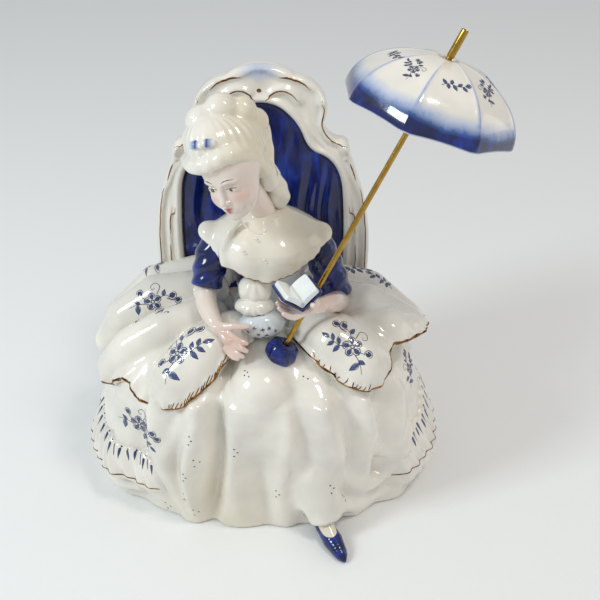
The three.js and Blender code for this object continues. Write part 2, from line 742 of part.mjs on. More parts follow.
// A dome of flat-sided gores: quarter-ellipse ribs, nearly straight between them.
function dome(radius, height, segments = 32) {
  const profile = [[0, 0]];
  const steps = 6;
  for (let k = 1; k <= steps; k += 1) {
    const angle = (k / steps) * 90 * RAD;
    profile.push([radius * Math.sin(angle), -height * (1 - Math.cos(angle))]);
  }
  profile.push([0, -height]);
  const gore = 360 / CANOPY_RIBS;
  return warped(spun(profile, segments), (point) => {
    const inGore = ((((degrees(point) % gore) + gore) % gore) - gore / 2) * RAD;
    const flat = Math.cos((gore / 2) * RAD) / Math.cos(inGore);
    const share = 1 - 0.75 * (1 - flat);
    point.x *= share;
    point.y *= share;
  });
}

function canopy() {
  const outer = solidOf(dome(CANOPY_RADIUS, CANOPY_HEIGHT));
  const hollow = dome(CANOPY_RADIUS - CANOPY_WALL, CANOPY_HEIGHT - CANOPY_WALL + 0.01);
  const shell = outer.subtract(solidOf(hollow.translate(0, 0, -CANOPY_WALL - 0.01)));
  const lean = new THREE.Quaternion().setFromAxisAngle(new THREE.Vector3(0, 1, 0), -CANOPY_ASKEW * RAD);
  const direction = ROD_AXIS.clone().applyQuaternion(lean);
  const matrix = along(onRod(CANOPY_DISTANCE), direction);
  return solidOf(geometryOf(shell).applyMatrix4(matrix)).subtract(rodHole());
}
const COLLAR_TOP = CANOPY_DISTANCE - CANOPY_WALL - 1;
const collar = () =>
  rodTube(COLLAR_TOP - COLLAR_LENGTH, COLLAR_TOP, COLLAR_DIAMETER, SNUG_BORE);

// ---------------------------------------------------------------- assembly
const figurine = new THREE.Group();

function add(name, solid, material) {
  const mesh = new THREE.Mesh(geometryOf(mainLump(solid)), material);
  mesh.name = name;
  figurine.add(mesh);
}

const hull = skirtBody(GAP);
const chair = chairBlank(GAP).add(chairBase(GAP));
const edgeCutter = belowEdge();

add('foot_plate', footPlate(), BISQUE);
add('underskirt', underskirt(), PORCELAIN);
add('lap', without(lap(), hull, socket(GAP)), PORCELAIN);
for (const [name, side] of [['overskirt_right', -1], ['overskirt_left', 1]]) {
  const half = new THREE.BoxGeometry(400, 400, 400).translate(side * (200 + GAP / 2), 0, 0);
  const cloth = hip(side).intersect(solidOf(half));
  const seated = [hull, lap(GAP), torso(GAP), chair, socket(GAP), rightForearm(GAP), leftForearm(GAP)];
  add(name, without(cloth, ...seated, rightSleeve(GAP), leftSleeve(GAP), edgeCutter), PORCELAIN);
}
add('flounce_right', flounce(186, 230, 20, 41), PORCELAIN);
add('flounce_left', flounce(-33, -8, 20, 52), PORCELAIN);

add('chair_frame', without(chairFrame(), hull), PORCELAIN);
add('chair_panel', without(panelBlank(0, PANEL_RECESS, PANEL_RECESS + PANEL_THICKNESS), hull), COBALT);
add('chair_base', without(chairBase(), hull, chairBlank(GAP)), PORCELAIN);

add('bodice', without(torso(), hull, lap(GAP), chair), PORCELAIN);
add('cape', without(cape(), torso(GAP), neck(GAP), chair), PORCELAIN);
add('head', without(head(), torso(GAP)), FLESH);
const shoulders = [torso(GAP), cape(2 * GAP), chair];
add('hair', without(hairMass(), head(GAP), faceClearance(), ...shoulders), PORCELAIN);
add('hair_ringlet', without(ringlet(), hairMass(GAP), head(GAP), ...shoulders), PORCELAIN);
add('hair_bow', without(hairBow(), hairMass(GAP), head(GAP)), COBALT);

add('sleeve_right', without(rightSleeve(), ...shoulders), COBALT);
add('sleeve_left', without(leftSleeve(), ...shoulders), COBALT);
const ruffles = JABOT.map((entry) => ruffle(entry, GAP));
const resting = [rightSleeve(GAP), lap(GAP), ...ruffles];
add('forearm_right', without(rightForearm(), torso(GAP), hull, ...resting), FLESH);
const reading = [leftSleeve(GAP), bookCover(GAP), rodPath()];
add('forearm_left', without(leftForearm(), torso(GAP), lap(GAP), hull, ...reading), FLESH);
add('book_cover', without(bookCover(), torso(GAP), ...ruffles), COBALT);
add('book_pages', without(bookPages(), bookCover(GAP), ...ruffles), PAGES);
JABOT.forEach((entry, k) => {
  const earlier = ruffles.slice(0, k);
  const backing = [torso(GAP), cape(2 * GAP), lap(GAP), socket(GAP), hull];
  add(entry.name, without(ruffle(entry), ...backing, ...earlier), PORCELAIN);
});

add('stocking', without(stocking(), shoe(GAP), hull), PORCELAIN);
add('shoe', without(shoe(), hull), COBALT);

add('parasol_socket', without(socket(), hull, rodHole()), COBALT);
add('parasol_rod', rod(), BRASS);
add('parasol_collar', collar(), BRASS);
add('parasol_canopy', canopy(), PORCELAIN);
add('parasol_ferrule', ferrule(), BRASS);

export default figurine;
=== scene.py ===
"""A glazed porcelain lady reading in a cartouche-backed chair, with a parasol on a brass rod.

Shapes are worked in millimetres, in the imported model's frame, and turned into metres as each mesh
is made. Her own left is +X.
"""

import math

import bpy
import numpy as np
import openvdb
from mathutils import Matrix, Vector
from mathutils.bvhtree import BVHTree


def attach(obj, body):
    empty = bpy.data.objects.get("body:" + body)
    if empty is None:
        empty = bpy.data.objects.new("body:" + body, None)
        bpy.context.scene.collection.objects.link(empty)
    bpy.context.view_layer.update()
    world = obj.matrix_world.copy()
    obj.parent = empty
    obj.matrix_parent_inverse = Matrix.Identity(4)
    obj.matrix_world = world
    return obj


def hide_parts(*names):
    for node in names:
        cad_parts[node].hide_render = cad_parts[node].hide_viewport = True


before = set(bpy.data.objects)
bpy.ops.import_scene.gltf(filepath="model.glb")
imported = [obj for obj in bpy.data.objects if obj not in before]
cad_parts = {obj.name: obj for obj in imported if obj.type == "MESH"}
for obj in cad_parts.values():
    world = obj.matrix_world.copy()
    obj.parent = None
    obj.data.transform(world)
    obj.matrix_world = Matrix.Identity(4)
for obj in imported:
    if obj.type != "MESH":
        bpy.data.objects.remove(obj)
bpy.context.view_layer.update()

MM = 0.001
FRONT = (0, -0.82, 0.57)
BEHIND = (0, 0.82, 0.57)
FAR = 1000.0
RAD = math.pi / 180


# ---------------------------------------------------------------- camera, light, floor
def camera():
    data = bpy.data.cameras.new("camera")
    data.lens = 57
    data.sensor_width = 36
    seen = bpy.data.objects.new("camera", data)
    seen.location = (0.020, -0.40414, 0.38455)
    seen.rotation_euler = (55 * RAD, 0, 0)
    bpy.context.scene.collection.objects.link(seen)
    bpy.context.scene.camera = seen


def area_light(name, place, aim, size, power, colour):
    data = bpy.data.lights.new(name, "AREA")
    data.shape = "RECTANGLE"
    data.size, data.size_y = size
    data.energy = power
    data.color = colour
    lamp = bpy.data.objects.new(name, data)
    lamp.location = place
    lamp.rotation_euler = (Vector(aim) - Vector(place)).to_track_quat("-Z", "Y").to_euler()
    bpy.context.scene.collection.objects.link(lamp)


camera()
area_light("window", (-0.75, -0.35, 0.75), (0, 0, 0.1), (0.24, 0.3), 4.6, (0.84, 0.96, 1.0))
area_light("ceiling", (0.35, -0.25, 1.0), (0, 0, 0.1), (0.2, 0.2), 2.2, (1.0, 0.93, 0.84))
area_light("room", (0.95, 0.15, 0.35), (0, 0, 0.1), (0.4, 0.5), 0.5, (1.0, 0.93, 0.85))
world = bpy.data.worlds.new("room_light")
bpy.context.scene.world = world
world.use_nodes = True
world.node_tree.nodes["Background"].inputs["Color"].default_value = (0.86, 0.88, 0.90, 1)
world.node_tree.nodes["Background"].inputs["Strength"].default_value = 0.58
bpy.context.scene.view_settings.view_transform = "Standard"


# ---------------------------------------------------------------- materials
def tone(code):
    """The linear colour of a hex code."""
    parts = [int(code[k : k + 2], 16) / 255 for k in (0, 2, 4)]
    return tuple(c / 12.92 if c <= 0.04045 else ((c + 0.055) / 1.055) ** 2.4 for c in parts) + (1.0,)


class Graph:
    """A material and short ways to add nodes to it."""

    def __init__(self, name):
        self.material = bpy.data.materials.new(name)
        self.material.use_nodes = True
        self.tree = self.material.node_tree
        self.shader = self.tree.nodes["Principled BSDF"]

    def node(self, kind, **values):
        made = self.tree.nodes.new(kind)
        for key, value in values.items():
            setattr(made, key, value)
        return made

    def link(self, start, end):
        self.tree.links.new(start, end)

    def noise(self, scale, detail=4.0, stretch=(1, 1, 1), distortion=0.0):
        """Noise in the object's own space, in features per metre."""
        place = self.node("ShaderNodeTexCoord")
        fit = self.node("ShaderNodeMapping")
        fit.inputs["Scale"].default_value = stretch
        made = self.node("ShaderNodeTexNoise")
        made.inputs["Scale"].default_value = scale
        made.inputs["Detail"].default_value = detail
        made.inputs["Distortion"].default_value = distortion
        self.link(place.outputs["Object"], fit.inputs["Vector"])
        self.link(fit.outputs["Vector"], made.inputs["Vector"])
        return made.outputs["Fac"]

    def ramp(self, source, *stops):
        made = self.node("ShaderNodeValToRGB")
        elements = made.color_ramp.elements
        while len(elements) < len(stops):
            elements.new(0.5)
        for element, (place, colour) in zip(elements, stops):
            element.position = place
            element.color = colour
        self.link(source, made.inputs["Fac"])
        return made.outputs["Color"]

    def grey(self, source, *stops):
        return self.ramp(source, *((place, (v, v, v, 1)) for place, v in stops))

    def maths(self, operation, first, second):
        made = self.node("ShaderNodeMath", operation=operation, use_clamp=True)
        for socket, value in zip(made.inputs, (first, second)):
            if isinstance(value, (int, float)):
                socket.default_value = value
            else:
                self.link(value, socket)
        return made.outputs["Value"]

    def mix(self, factor, first, second, blend="MIX"):
        made = self.node("ShaderNodeMix", data_type="RGBA", blend_type=blend)
        for socket, value in zip((0, 6, 7), (factor, first, second)):
            socket = made.inputs[socket]
            if isinstance(value, (int, float, tuple)):
                socket.default_value = value
            else:
                self.link(value, socket)
        return made.outputs[2]

    def painted(self):
        """The mesh's paint attribute: cobalt in Red, blush in Green and warmth in Blue."""
        read = self.node("ShaderNodeAttribute", attribute_name="paint")
        split = self.node("ShaderNodeSeparateColor")
        self.link(read.outputs["Color"], split.inputs["Color"])
        return split.outputs

    def bump(self, source, strength, distance):
        made = self.node("ShaderNodeBump")
        made.inputs["Strength"].default_value = strength
        made.inputs["Distance"].default_value = distance
        self.link(source, made.inputs["Height"])
        self.link(made.outputs["Normal"], self.shader.inputs["Normal"])

    def feed(self, **sources):
        """Links sources to the shader's sockets."""
        for key, source in sources.items():
            self.link(source, self.shader.inputs[key.replace("_", " ")])

    def set(self, **values):
        for key, value in values.items():
            self.shader.inputs[key.replace("_", " ")].default_value = value


BLUSH = tone("c9765a")
THIN_COBALT = tone("5f92dc")


def cobalt_colour(graph):
    """Cobalt glaze that pools dark and streaks bright where the brush left it thin."""
    streaks = graph.noise(240, 4, (1, 1, 0.25), 0.5)
    pools = graph.noise(60, 2)
    both = graph.mix(0.5, streaks, pools)
    stops = ((0.34, "030d33"), (0.50, "06195a"), (0.62, "0d3190"), (0.78, "2a62c4"))
    return graph.ramp(both, *((place, tone(code)) for place, code in stops))


def glazed(name, light, shade, cobalt=False, warm_tone="e2d5b4", roughness=(0.10, 0.20)):
    """White or coloured porcelain under a clear glaze, with cobalt, blush and warmth where painted."""
    graph = Graph(name)
    clouds = graph.noise(45, 3)
    body = graph.ramp(clouds, (0.35, tone(shade)), (0.62, tone(light)))
    if cobalt:
        colour = cobalt_colour(graph)
    else:
        paint = graph.painted()
        # The warmth mixes in warm_tone: painted warm shade on the underskirt, cape and hair, and the red
        # of the lips on the head
        warm = graph.mix(paint["Blue"], body, tone(warm_tone))
        rosy = graph.mix(paint["Green"], warm, BLUSH)
        ragged = graph.maths("SUBTRACT", graph.noise(420, 4, (1, 1, 0.4)), 0.5)
        edge = graph.maths("ADD", paint["Red"], graph.maths("MULTIPLY", ragged, paint["Red"]))
        amount = graph.grey(edge, (0.06, 0.0), (0.75, 1.0))
        depth = graph.grey(paint["Red"], (0.3, 0.0), (0.9, 1.0))
        blue = graph.mix(depth, THIN_COBALT, cobalt_colour(graph))
        colour = graph.mix(amount, rosy, blue)
    graph.feed(Base_Color=colour)
    graph.feed(Roughness=graph.grey(graph.noise(150, 2), (0.3, roughness[0]), (0.7, roughness[1])))
    graph.set(Coat_Weight=0.45 if cobalt else 0.8, Coat_Roughness=0.03, Coat_IOR=1.5, IOR=1.45)
    graph.bump(graph.noise(260, 2), 0.08, 0.0006)
    return graph.material


def metal(name, bright, dull, roughness, wear=0.6):
    """Brass or fired gold: brighter and darker patches, fine marks along it."""
    graph = Graph(name)
    patches = graph.noise(230, 5, (1, 1, 1), 0.5)
    colour = graph.ramp(patches, (0.5 - wear * 0.25, tone(dull)), (0.5 + wear * 0.2, tone(bright)))
    graph.feed(Base_Color=colour)
    graph.feed(Roughness=graph.grey(graph.noise(600, 3), (0.3, roughness), (0.75, roughness + 0.16)))
    graph.set(Metallic=1.0, IOR=1.5)
    graph.bump(graph.noise(900, 3), 0.12, 0.0002)
    return graph.material


def decoration(name, wash, middle, dark):
    """Brushwork under the glaze, as dark as the paint attribute says."""
    graph = Graph(name)
    paint = graph.painted()
    cloud = graph.maths("ADD", paint["Red"], graph.maths("MULTIPLY", graph.noise(900, 3), 0.22))
    colour = graph.ramp(cloud, (0.10, tone(wash)), (0.45, tone(middle)), (0.95, tone(dark)))
    graph.feed(Base_Color=colour)
    graph.feed(Roughness=graph.grey(graph.noise(150, 2), (0.3, 0.12), (0.7, 0.2)))
    graph.set(Coat_Weight=0.8, Coat_Roughness=0.03, Coat_IOR=1.5, IOR=1.5)
    return graph.material


def unglazed(name, light, dark, roughness):
    graph = Graph(name)
    grain = graph.noise(1400, 5)
    colour = graph.ramp(grain, (0.3, tone(dark)), (0.7, tone(light)))
    graph.feed(Base_Color=colour)
    graph.feed(Roughness=graph.grey(grain, (0.3, roughness - 0.1), (0.7, roughness + 0.1)))
    graph.bump(grain, 0.2, 0.0003)
    return graph.material


WHITE = glazed("white_glaze", "f1ebe0", "e2ddd3")
# A greyer, bluer white: painted shade for the bodice and the lowest jabot tier, which lie under the cape
# and between the arms
SHADED_COOL_WHITE = glazed("shaded_cool_white_glaze", "e4e9ea", "c9d3da")
BLUE = glazed("cobalt_glaze", "0a1a4c", "0a1a4c", cobalt=True)
# Its warm paint is the red of the lips
SKIN = glazed("flesh_glaze", "efe2d7", "e6d5c8", warm_tone="a83a34", roughness=(0.14, 0.24))
PAPER = glazed("page_glaze", "f2f5f3", "dfe8ea")
LINE = decoration("blue_brushwork", "93a3c6", "43598f", "12204f")
# Its palest tone serves only the painted highlight in each eye
BROWN = decoration("brown_brushwork", "efe9e2", "7a5744", "2c1c18")
GOLD = metal("fired_gold", "a8743a", "3f2614", 0.24)
BRASS = metal("brass_rod", "c8a24e", "9a7632", 0.16, 1.6)
FOOT = unglazed("bisque_foot", "dcd6ca", "bdb6a8", 0.8)


def floor():
    size = 6.0  # metres to each side
    mesh = bpy.data.meshes.new("floor")
    corners = [(-size, -size, 0), (size, -size, 0), (size, size, 0), (-size, size, 0)]
    mesh.from_pydata(corners, [], [(0, 1, 2, 3)])
    plate = bpy.data.objects.new("floor", mesh)
    bpy.context.scene.collection.objects.link(plate)
    mesh.materials.append(unglazed("pale_floor", "f4f4f3", "f0f0ef", 0.7))


floor()


# ---------------------------------------------------------------- meshes
class Piece:
    """A finished mesh: its points in millimetres, its faces, and a tree to find its surface."""

    def __init__(
        self, name, points, faces, material, body="figurine", slot="white_porcelain", replaces=()
    ):
        self.points = np.asarray(points, np.float64)
        self.faces = faces
        mesh = bpy.data.meshes.new(name)
        mesh.from_pydata((self.points * MM).tolist(), [], faces)
        mesh.validate()
        mesh.polygons.foreach_set("use_smooth", [True] * len(mesh.polygons))
        mesh.materials.append(material)
        self.object = bpy.data.objects.new(name, mesh)
        bpy.context.scene.collection.objects.link(self.object)
        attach(self.object, body)
        if replaces:
            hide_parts(*replaces)
        self._tree = None

    @property
    def tree(self):
        if self._tree is None:
            self._tree = BVHTree.FromPolygons(self.points.tolist(), self.faces)
        return self._tree

    def paint(self, cobalt=0.0, blush=0.0, warmth=0.0):
        """Stores the cobalt, blush and warmth at each point, from 0 to 1."""
        values = np.ones((len(self.points), 4), np.float32)
        for channel, amount in enumerate((cobalt, blush, warmth)):
            values[:, channel] = np.clip(amount, 0, 1)
        layer = self.object.data.color_attributes.new("paint", "FLOAT_COLOR", "POINT")
        layer.data.foreach_set("color", values.ravel())
        return self

    def auto_flat(self, angle):
        """Keeps edges sharper than an angle crisp."""
        self.object.data.set_sharp_from_angle(angle=angle * RAD)
        return self


def turned(angles):
    """The matrix of turns about X, Y and Z, in degrees, taken in the order Z, Y, X."""
    x, y, z = (a * RAD for a in angles)
    rx = np.array([[1, 0, 0], [0, math.cos(x), -math.sin(x)], [0, math.sin(x), math.cos(x)]])
    ry = np.array([[math.cos(y), 0, math.sin(y)], [0, 1, 0], [-math.sin(y), 0, math.cos(y)]])
    rz = np.array([[math.cos(z), -math.sin(z), 0], [math.sin(z), math.cos(z), 0], [0, 0, 1]])
    return rx @ ry @ rz


def ball(centre, radii, turn=(0, 0, 0)):
    """An ellipsoid: its box and its distance function."""
    centre = np.array(centre, np.float32)
    radii = np.array(radii, np.float32)
    axes = (turned(turn) if isinstance(turn, tuple) else turn).astype(np.float32)
    reach = np.abs(axes) @ radii

    def distance(points):
        local = (points - centre) @ axes
        near = np.sqrt(np.sum((local / radii) ** 2, -1))
        slope = np.sqrt(np.sum((local / radii**2) ** 2, -1)) + 1e-6
        return near * (near - 1) / slope

    return centre - reach, centre + reach, distance


def limb(points, radii, flat=None):
    """A chain of round-ended links with changing radius. flat squeezes it: an axis and a share."""
    points = np.array(points, np.float32)
    radii = np.array(radii, np.float32) * np.ones(len(points), np.float32)
    widest = radii.max()

    def distance(place):
        best = None
        for a, b, ra, rb in zip(points, points[1:], radii, radii[1:]):
            span = b - a
            share = np.clip((place - a) @ span / (span @ span), 0, 1)
            away = place - a - share[..., None] * span
            if flat is not None:
                axis = np.array(flat[0], np.float32)
                axis = axis / np.linalg.norm(axis)
                along = away @ axis
                away = away + (along * (1 / flat[1] - 1))[..., None] * axis
            d = np.sqrt(np.sum(away**2, -1)) - (ra + (rb - ra) * share)
            best = d if best is None else np.minimum(best, d)
        return best

    return points.min(0) - widest, points.max(0) + widest, distance


def soft_min(a, b, blend):
    if blend <= 0:
        return np.minimum(a, b)
    near = np.clip(blend - np.abs(a - b), 0, None) / blend
    return np.minimum(a, b) - near * near * blend / 4


def eased(points, quads, rounds):
    """Moves each point part of the way to the middle of its neighbours."""
    ends = np.vstack([quads[:, [k, (k + 1) % 4]] for k in range(4)])
    count = np.bincount(ends.ravel(), minlength=len(points))[:, None]
    for _ in range(rounds):
        total = np.stack(
            [
                np.bincount(ends[:, 0], points[ends[:, 1], axis], len(points))
                + np.bincount(ends[:, 1], points[ends[:, 0], axis], len(points))
                for axis in range(3)
            ],
            axis=-1,
        )
        points = 0.5 * points + 0.5 * total / count
    return points


class Clay:
    """Solids joined softly on a grid of distances."""

    def __init__(self, low, high, cell):
        self.low = np.array(low, np.float32)
        self.cell = cell
        counts = np.ceil((np.array(high) - self.low) / cell).astype(int) + 1
        steps = [np.arange(n, dtype=np.float32) * np.float32(cell) for n in counts]
        self.points = np.stack(np.meshgrid(*steps, indexing="ij"), -1) + self.low
        self.field = np.full(counts, FAR, np.float32)

    def fill(self, distance):
        """Starts the solid from distances on its grid, or on a slice that is repeated."""
        self.field = np.broadcast_to(distance, self.field.shape).astype(np.float32).copy()

    def window(self, low, high, margin):
        first = np.floor((low - margin - self.low) / self.cell).astype(int)
        last = np.ceil((high + margin - self.low) / self.cell).astype(int) + 1
        return tuple(slice(max(a, 0), max(b, 0)) for a, b in zip(first, last))

    def add(self, shape, blend=1.0):
        low, high, distance = shape
        where = self.window(low, high, blend + 2 * self.cell)
        if self.field[where].size:
            self.field[where] = soft_min(self.field[where], distance(self.points[where]), blend)
        return self

    def cut(self, shape, blend=0.5):
        low, high, distance = shape
        where = self.window(low, high, blend + 2 * self.cell)
        if self.field[where].size:
            self.field[where] = -soft_min(-self.field[where], distance(self.points[where]), blend)
        return self

    def keep(self, distance, blend=0.5):
        """Leaves only what a distance function says is inside."""
        values = distance(self.points) if callable(distance) else distance
        self.field = -soft_min(-self.field, -values.astype(np.float32), blend)
        return self

    def press(self, depth):
        """Raises the surface by a function of place."""
        self.field -= depth(self.points).astype(np.float32)
        return self

    def mesh(self):
        field = np.pad(self.field, 1, constant_values=FAR)
        for axis in range(3):
            for end in (1, -2):
                edge = [slice(None)] * 3
                edge[axis] = end
                field[tuple(edge)] = np.maximum(field[tuple(edge)], 0.5 * self.cell)
        grid = openvdb.FloatGrid(FAR)
        grid.copyFromArray(np.ascontiguousarray(field))
        points, quads = grid.convertToQuads(0.0)
        points = eased(points * self.cell + self.low - self.cell, quads, 2)
        faces = quads[:, ::-1] if outward(points, quads) < 0 else quads
        return points, faces.tolist()

    def piece(self, name, material, **how):
        """The finished mesh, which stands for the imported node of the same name."""
        points, faces = self.mesh()
        return Piece(name, points, faces, material, replaces=[name], **how)


def outward(points, faces):
    """Above 0 where the faces of a closed mesh look out."""
    a, b, c = (points[faces[:, k]] for k in (0, 1, 2))
    d = points[faces[:, 3]]
    return float(np.sum(a * np.cross(b, c)) + np.sum(a * np.cross(c, d)))


def lofted(rings, capped=True):
    """A closed skin through rings of points. Its ends are capped, or joined to each other."""
    rings = np.asarray(rings, float)
    count, around = rings.shape[:2]
    points = rings.reshape(-1, 3)
    k = np.arange(count - 1)[:, None] * around
    j = np.arange(around)[None, :]
    after = (j + 1) % around
    quads = np.stack([k + j, k + after, k + around + after, k + around + j], -1).reshape(-1, 4)
    faces = quads.tolist()
    base = (count - 1) * around
    if capped:
        points = np.vstack([points, rings[0].mean(0), rings[-1].mean(0)])
        first, last = len(points) - 2, len(points) - 1
        for m in range(around):
            faces.append([first, (m + 1) % around, m])
            faces.append([last, base + m, base + (m + 1) % around])
    else:
        for m in range(around):
            faces.append([base + m, base + (m + 1) % around, (m + 1) % around, m])
    return points, faces


def smooth_path(stops, steps=8):
    """A smooth line through a few points, in any number of dimensions."""
    stops = np.asarray(stops, float)
    ends = np.vstack([2 * stops[0] - stops[1], stops, 2 * stops[-1] - stops[-2]])
    made = []
    for a, b, c, d in zip(ends, ends[1:], ends[2:], ends[3:]):
        for t in np.linspace(0, 1, steps, endpoint=False):
            curved = (2 * a - 5 * b + 4 * c - d) * t**2 + (3 * b - a - 3 * c + d) * t**3
            made.append(0.5 * (2 * b + (c - a) * t + curved))
    made.append(stops[-1])
    return np.array(made)


# ---------------------------------------------------------------- the skirt's own surface
SKIRT_HEIGHT = 92.0
SKIRT_HALF_WIDTH = 89.0
SKIRT_FRONT = 62  # foot to the front of the hem
SKIRT_BACK = 50.0
SKIRT_SHARES = [1, 1.005, 0.985, 0.96, 0.93, 0.9, 0.83, 0.66, 0.36, 0.2]
SKIRT_LEVELS = [0, 0.12, 0.3, 0.48, 0.64, 0.76, 0.87, 0.95, 0.99, 1.0]
HEM_SQUARENESS = 2.35
FRONT_FULLNESS = 0.2  # how much the front stands out towards the knees
# Folds of the underskirt: angle at the waist and at the hem, half width in degrees, height in mm
FOLDS = [
    (-150, -153, 4.5, 2.2), (-141, -145, 3.5, -2.4), (-133, -136, 5.0, 2.6), (-124, -127, 3.5, -3.0),
    (-117, -120, 4.0, 4.2), (-109, -112, 4.0, -9.0), (-99, -102, 5.5, 3.0), (-87, -89, 3.6, -2.6),
    (-79, -79, 4.0, 2.4), (-70, -70, 3.4, -2.8), (-62, -61, 4.6, 3.2), (-53, -53, 3.4, -3.4),
    (-45, -46, 4.2, 3.4), (-37, -39, 3.2, -3.2), (-29, -31, 4.4, 3.0), (-20, -22, 3.4, -1.6),
    (18, 16, 5.5, 2.4), (30, 28, 4.5, -2.4), (44, 43, 6.0, 2.6), (62, 60, 6.0, 2.2),
    (118, 120, 6.0, 2.2), (136, 137, 6.0, 2.6), (150, 152, 4.5, -2.4), (163, 165, 5.5, 2.4),
    (178, 178, 4.5, -2.0),
]


def hem_share(angle, rise):
    depth = np.where(np.sin(angle) < 0, SKIRT_FRONT * (1 + FRONT_FULLNESS * rise), SKIRT_BACK)
    across = np.abs(np.cos(angle)) ** HEM_SQUARENESS
    deep = (np.abs(np.sin(angle)) * (SKIRT_HALF_WIDTH / depth)) ** HEM_SQUARENESS
    return (across + deep) ** (-1 / HEM_SQUARENESS)


def apart(angle, other):
    """Degrees between two headings, signed."""
    return (angle - other + 180) % 360 - 180


def skirt_radius(angle, height, folded=True):
    rise = np.clip(height / SKIRT_HEIGHT, 0, 1)
    radius = np.interp(rise, SKIRT_LEVELS, SKIRT_SHARES) * SKIRT_HALF_WIDTH * hem_share(angle, rise)
    if not folded:
        return radius
    heading = angle / RAD
    fade = np.clip((100 - height) / 26, 0, 1) * (0.45 + 0.55 * np.clip((height - 3) / 14, 0, 1))
    for top, bottom, width, depth in FOLDS:
        sway = 2.0 * np.sin(height / 14 + top)
        middle = bottom + (top - bottom) * rise + sway
        radius = radius + depth * fade * np.exp(-((apart(heading, middle) / width) ** 2))
    for place, width, low, high in ((-140, 14, 4.5, 2.5), (-41, 9, 3.0, 6.0)):
        depth = np.interp(height, [2, 20, 62], [low, high, 0])
        radius = radius - depth * np.exp(-((apart(heading, place) / width) ** 2))
    return radius + 1.6 * np.exp(-height / 5.0)


def polar(points):
    return np.arctan2(points[..., 1], points[..., 0]), np.hypot(points[..., 0], points[..., 1])


def skirt_point(heading, height, out=2.0):
    angle = np.array([heading * RAD])
    radius = float(skirt_radius(angle, np.array([height]))[0]) + out
    return np.array((radius * math.cos(heading * RAD), radius * math.sin(heading * RAD), height))


def skirt_distance(points, grow=0.0, folded=True):
    angle, radius = polar(points)
    return 0.85 * (radius - skirt_radius(angle, points[..., 2], folded) - grow)


KNEES = [
    (limb([(2, -34, 84), (1, -47, 79), (-1, -53, 60), (-2, -53, 44)], [15, 17, 13, 8]), 5),
    (limb([(22, -34, 83), (26, -44, 74), (31, -50, 52)], [13, 13.5, 10]), 8),
]
# Curling folds on the skirt: headings and heights along each, radius and how proud
CURLS = [
    ([(-62, 78), (-58, 54), (-53, 32), (-44, 21), (-35, 21), (-28, 33)], 4.0, 3.4),
    ([(-45, 76), (-43, 58), (-39, 43), (-31, 36), (-24, 42)], 3.4, 2.6),
    ([(-66, 40), (-60, 20), (-50, 9), (-38, 7), (-26, 13)], 3.8, 2.6),
    ([(-118, 78), (-126, 60), (-131, 42), (-128, 20), (-124, 2)], 3.8, 2.4),
    ([(-166, 70), (-165, 56), (-160, 44)], 4.0, 2.6),
    ([(-176, 15), (-166, 11), (-154, 9), (-145, 13)], 3.0, 4.2),
]
ANKLE_FOLD = [(21, -46, 44), (26, -57, 30), (29.5, -62, 20), (32, -66, 13)]
ANKLE_OPENING = [(29, -56, 12), (33, -68, 7), (38, -80, 3)]


def underskirt():
    """The bell of the skirt with its folds, knees and the fold over the ankle, hollow from below."""
    clay = Clay((-98, -80, -2), (98, 60, 100), 1.0)
    clay.fill(skirt_distance(clay.points))
    clay.keep(lambda p: p[..., 2] - 90, 3)
    for shape, blend in KNEES:
        clay.add(shape, blend)
    for stops, radius, proud in CURLS:
        path = [skirt_point(heading, height, proud - radius) for heading, height in stops]
        clay.add(limb(smooth_path(path, 5), radius), 4)
    clay.keep(lambda p: -p[..., 2], 0.8)
    clay.add(limb(ANKLE_FOLD, [9, 10.5, 10, 8.5]), 7)
    clay.keep(lambda p: -p[..., 2], 0.8)
    clay.cut(limb(ANKLE_OPENING, [8, 7.5, 7]), 1.5)
    hollow = np.maximum(skirt_distance(clay.points, -20, False), clay.points[..., 2] - 74)
    rim = np.maximum(skirt_distance(clay.points, -5, False), clay.points[..., 2] - 4.5)
    clay.keep(-hollow, 0)
    clay.keep(-rim, 0)
    piece = clay.piece("underskirt", WHITE)
    height = piece.points[:, 2]
    # Warmer around 20 mm to her right and towards the floor: painted warm shade in the deep folds beside
    # her knees
    warm = 0.5 * np.exp(-(((piece.points[:, 0] + 20) / 30) ** 2)) * np.clip((60 - height) / 60, 0, 1)
    return piece.paint(warmth=warm)


def lap():
    clay = Clay((-30, -72, 62), (48, 4, 102), 0.8)
    clay.add(ball((8, -25, 79), (26, 30, 18.5)), 0)
    clay.add(limb([(2, -30, 85), (1, -47, 80), (-1, -53, 62)], [15, 17, 12.5]), 4)
    clay.add(limb([(21, -30, 83), (26, -42, 77)], [13, 13.5]), 6)
    piece = clay.piece("lap", WHITE)
    return piece.paint()


# ---------------------------------------------------------------- overskirt
# The wavy lower edge: heading in degrees and height
EDGE = [
    (-180, 67), (-170, 66.5), (-158.6, 69), (-151, 79), (-147, 79.5), (-142, 73.5),
    (-133, 72), (-124, 76), (-115.7, 85), (-108.4, 96), (-102, 99), (-66, 99),
    (-60, 97), (-55.4, 92), (-51, 86), (-45, 82.5), (-40, 83), (-36.5, 88),
    (-33, 96), (-29, 99.5), (-17.4, 97), (-5.4, 90), (6.5, 83), (14, 78),
    (40, 69), (65, 77), (90, 74), (115, 77), (140, 70), (160, 72),
    (180, 67),
]
RUFFLE = 72  # ripples of the edge, all the way round


def edge_height(heading):
    """The overskirt's edge, eased between its stops, with the ripple of its ruffle."""
    heading = (heading + 180) % 360 - 180
    stops, heights = np.array(EDGE).T
    after = np.clip(np.searchsorted(stops, heading), 1, len(stops) - 1)
    share = (heading - stops[after - 1]) / (stops[after] - stops[after - 1])
    eased = share * share * (3 - 2 * share)
    smooth = heights[after - 1] + (heights[after] - heights[after - 1]) * (0.5 * eased + 0.5 * share)
    return smooth + 0.7 * np.cos(RUFFLE * heading * RAD)


HIP_RADII = (38, 48, 31)
HIP_SQUARENESS = 2.33


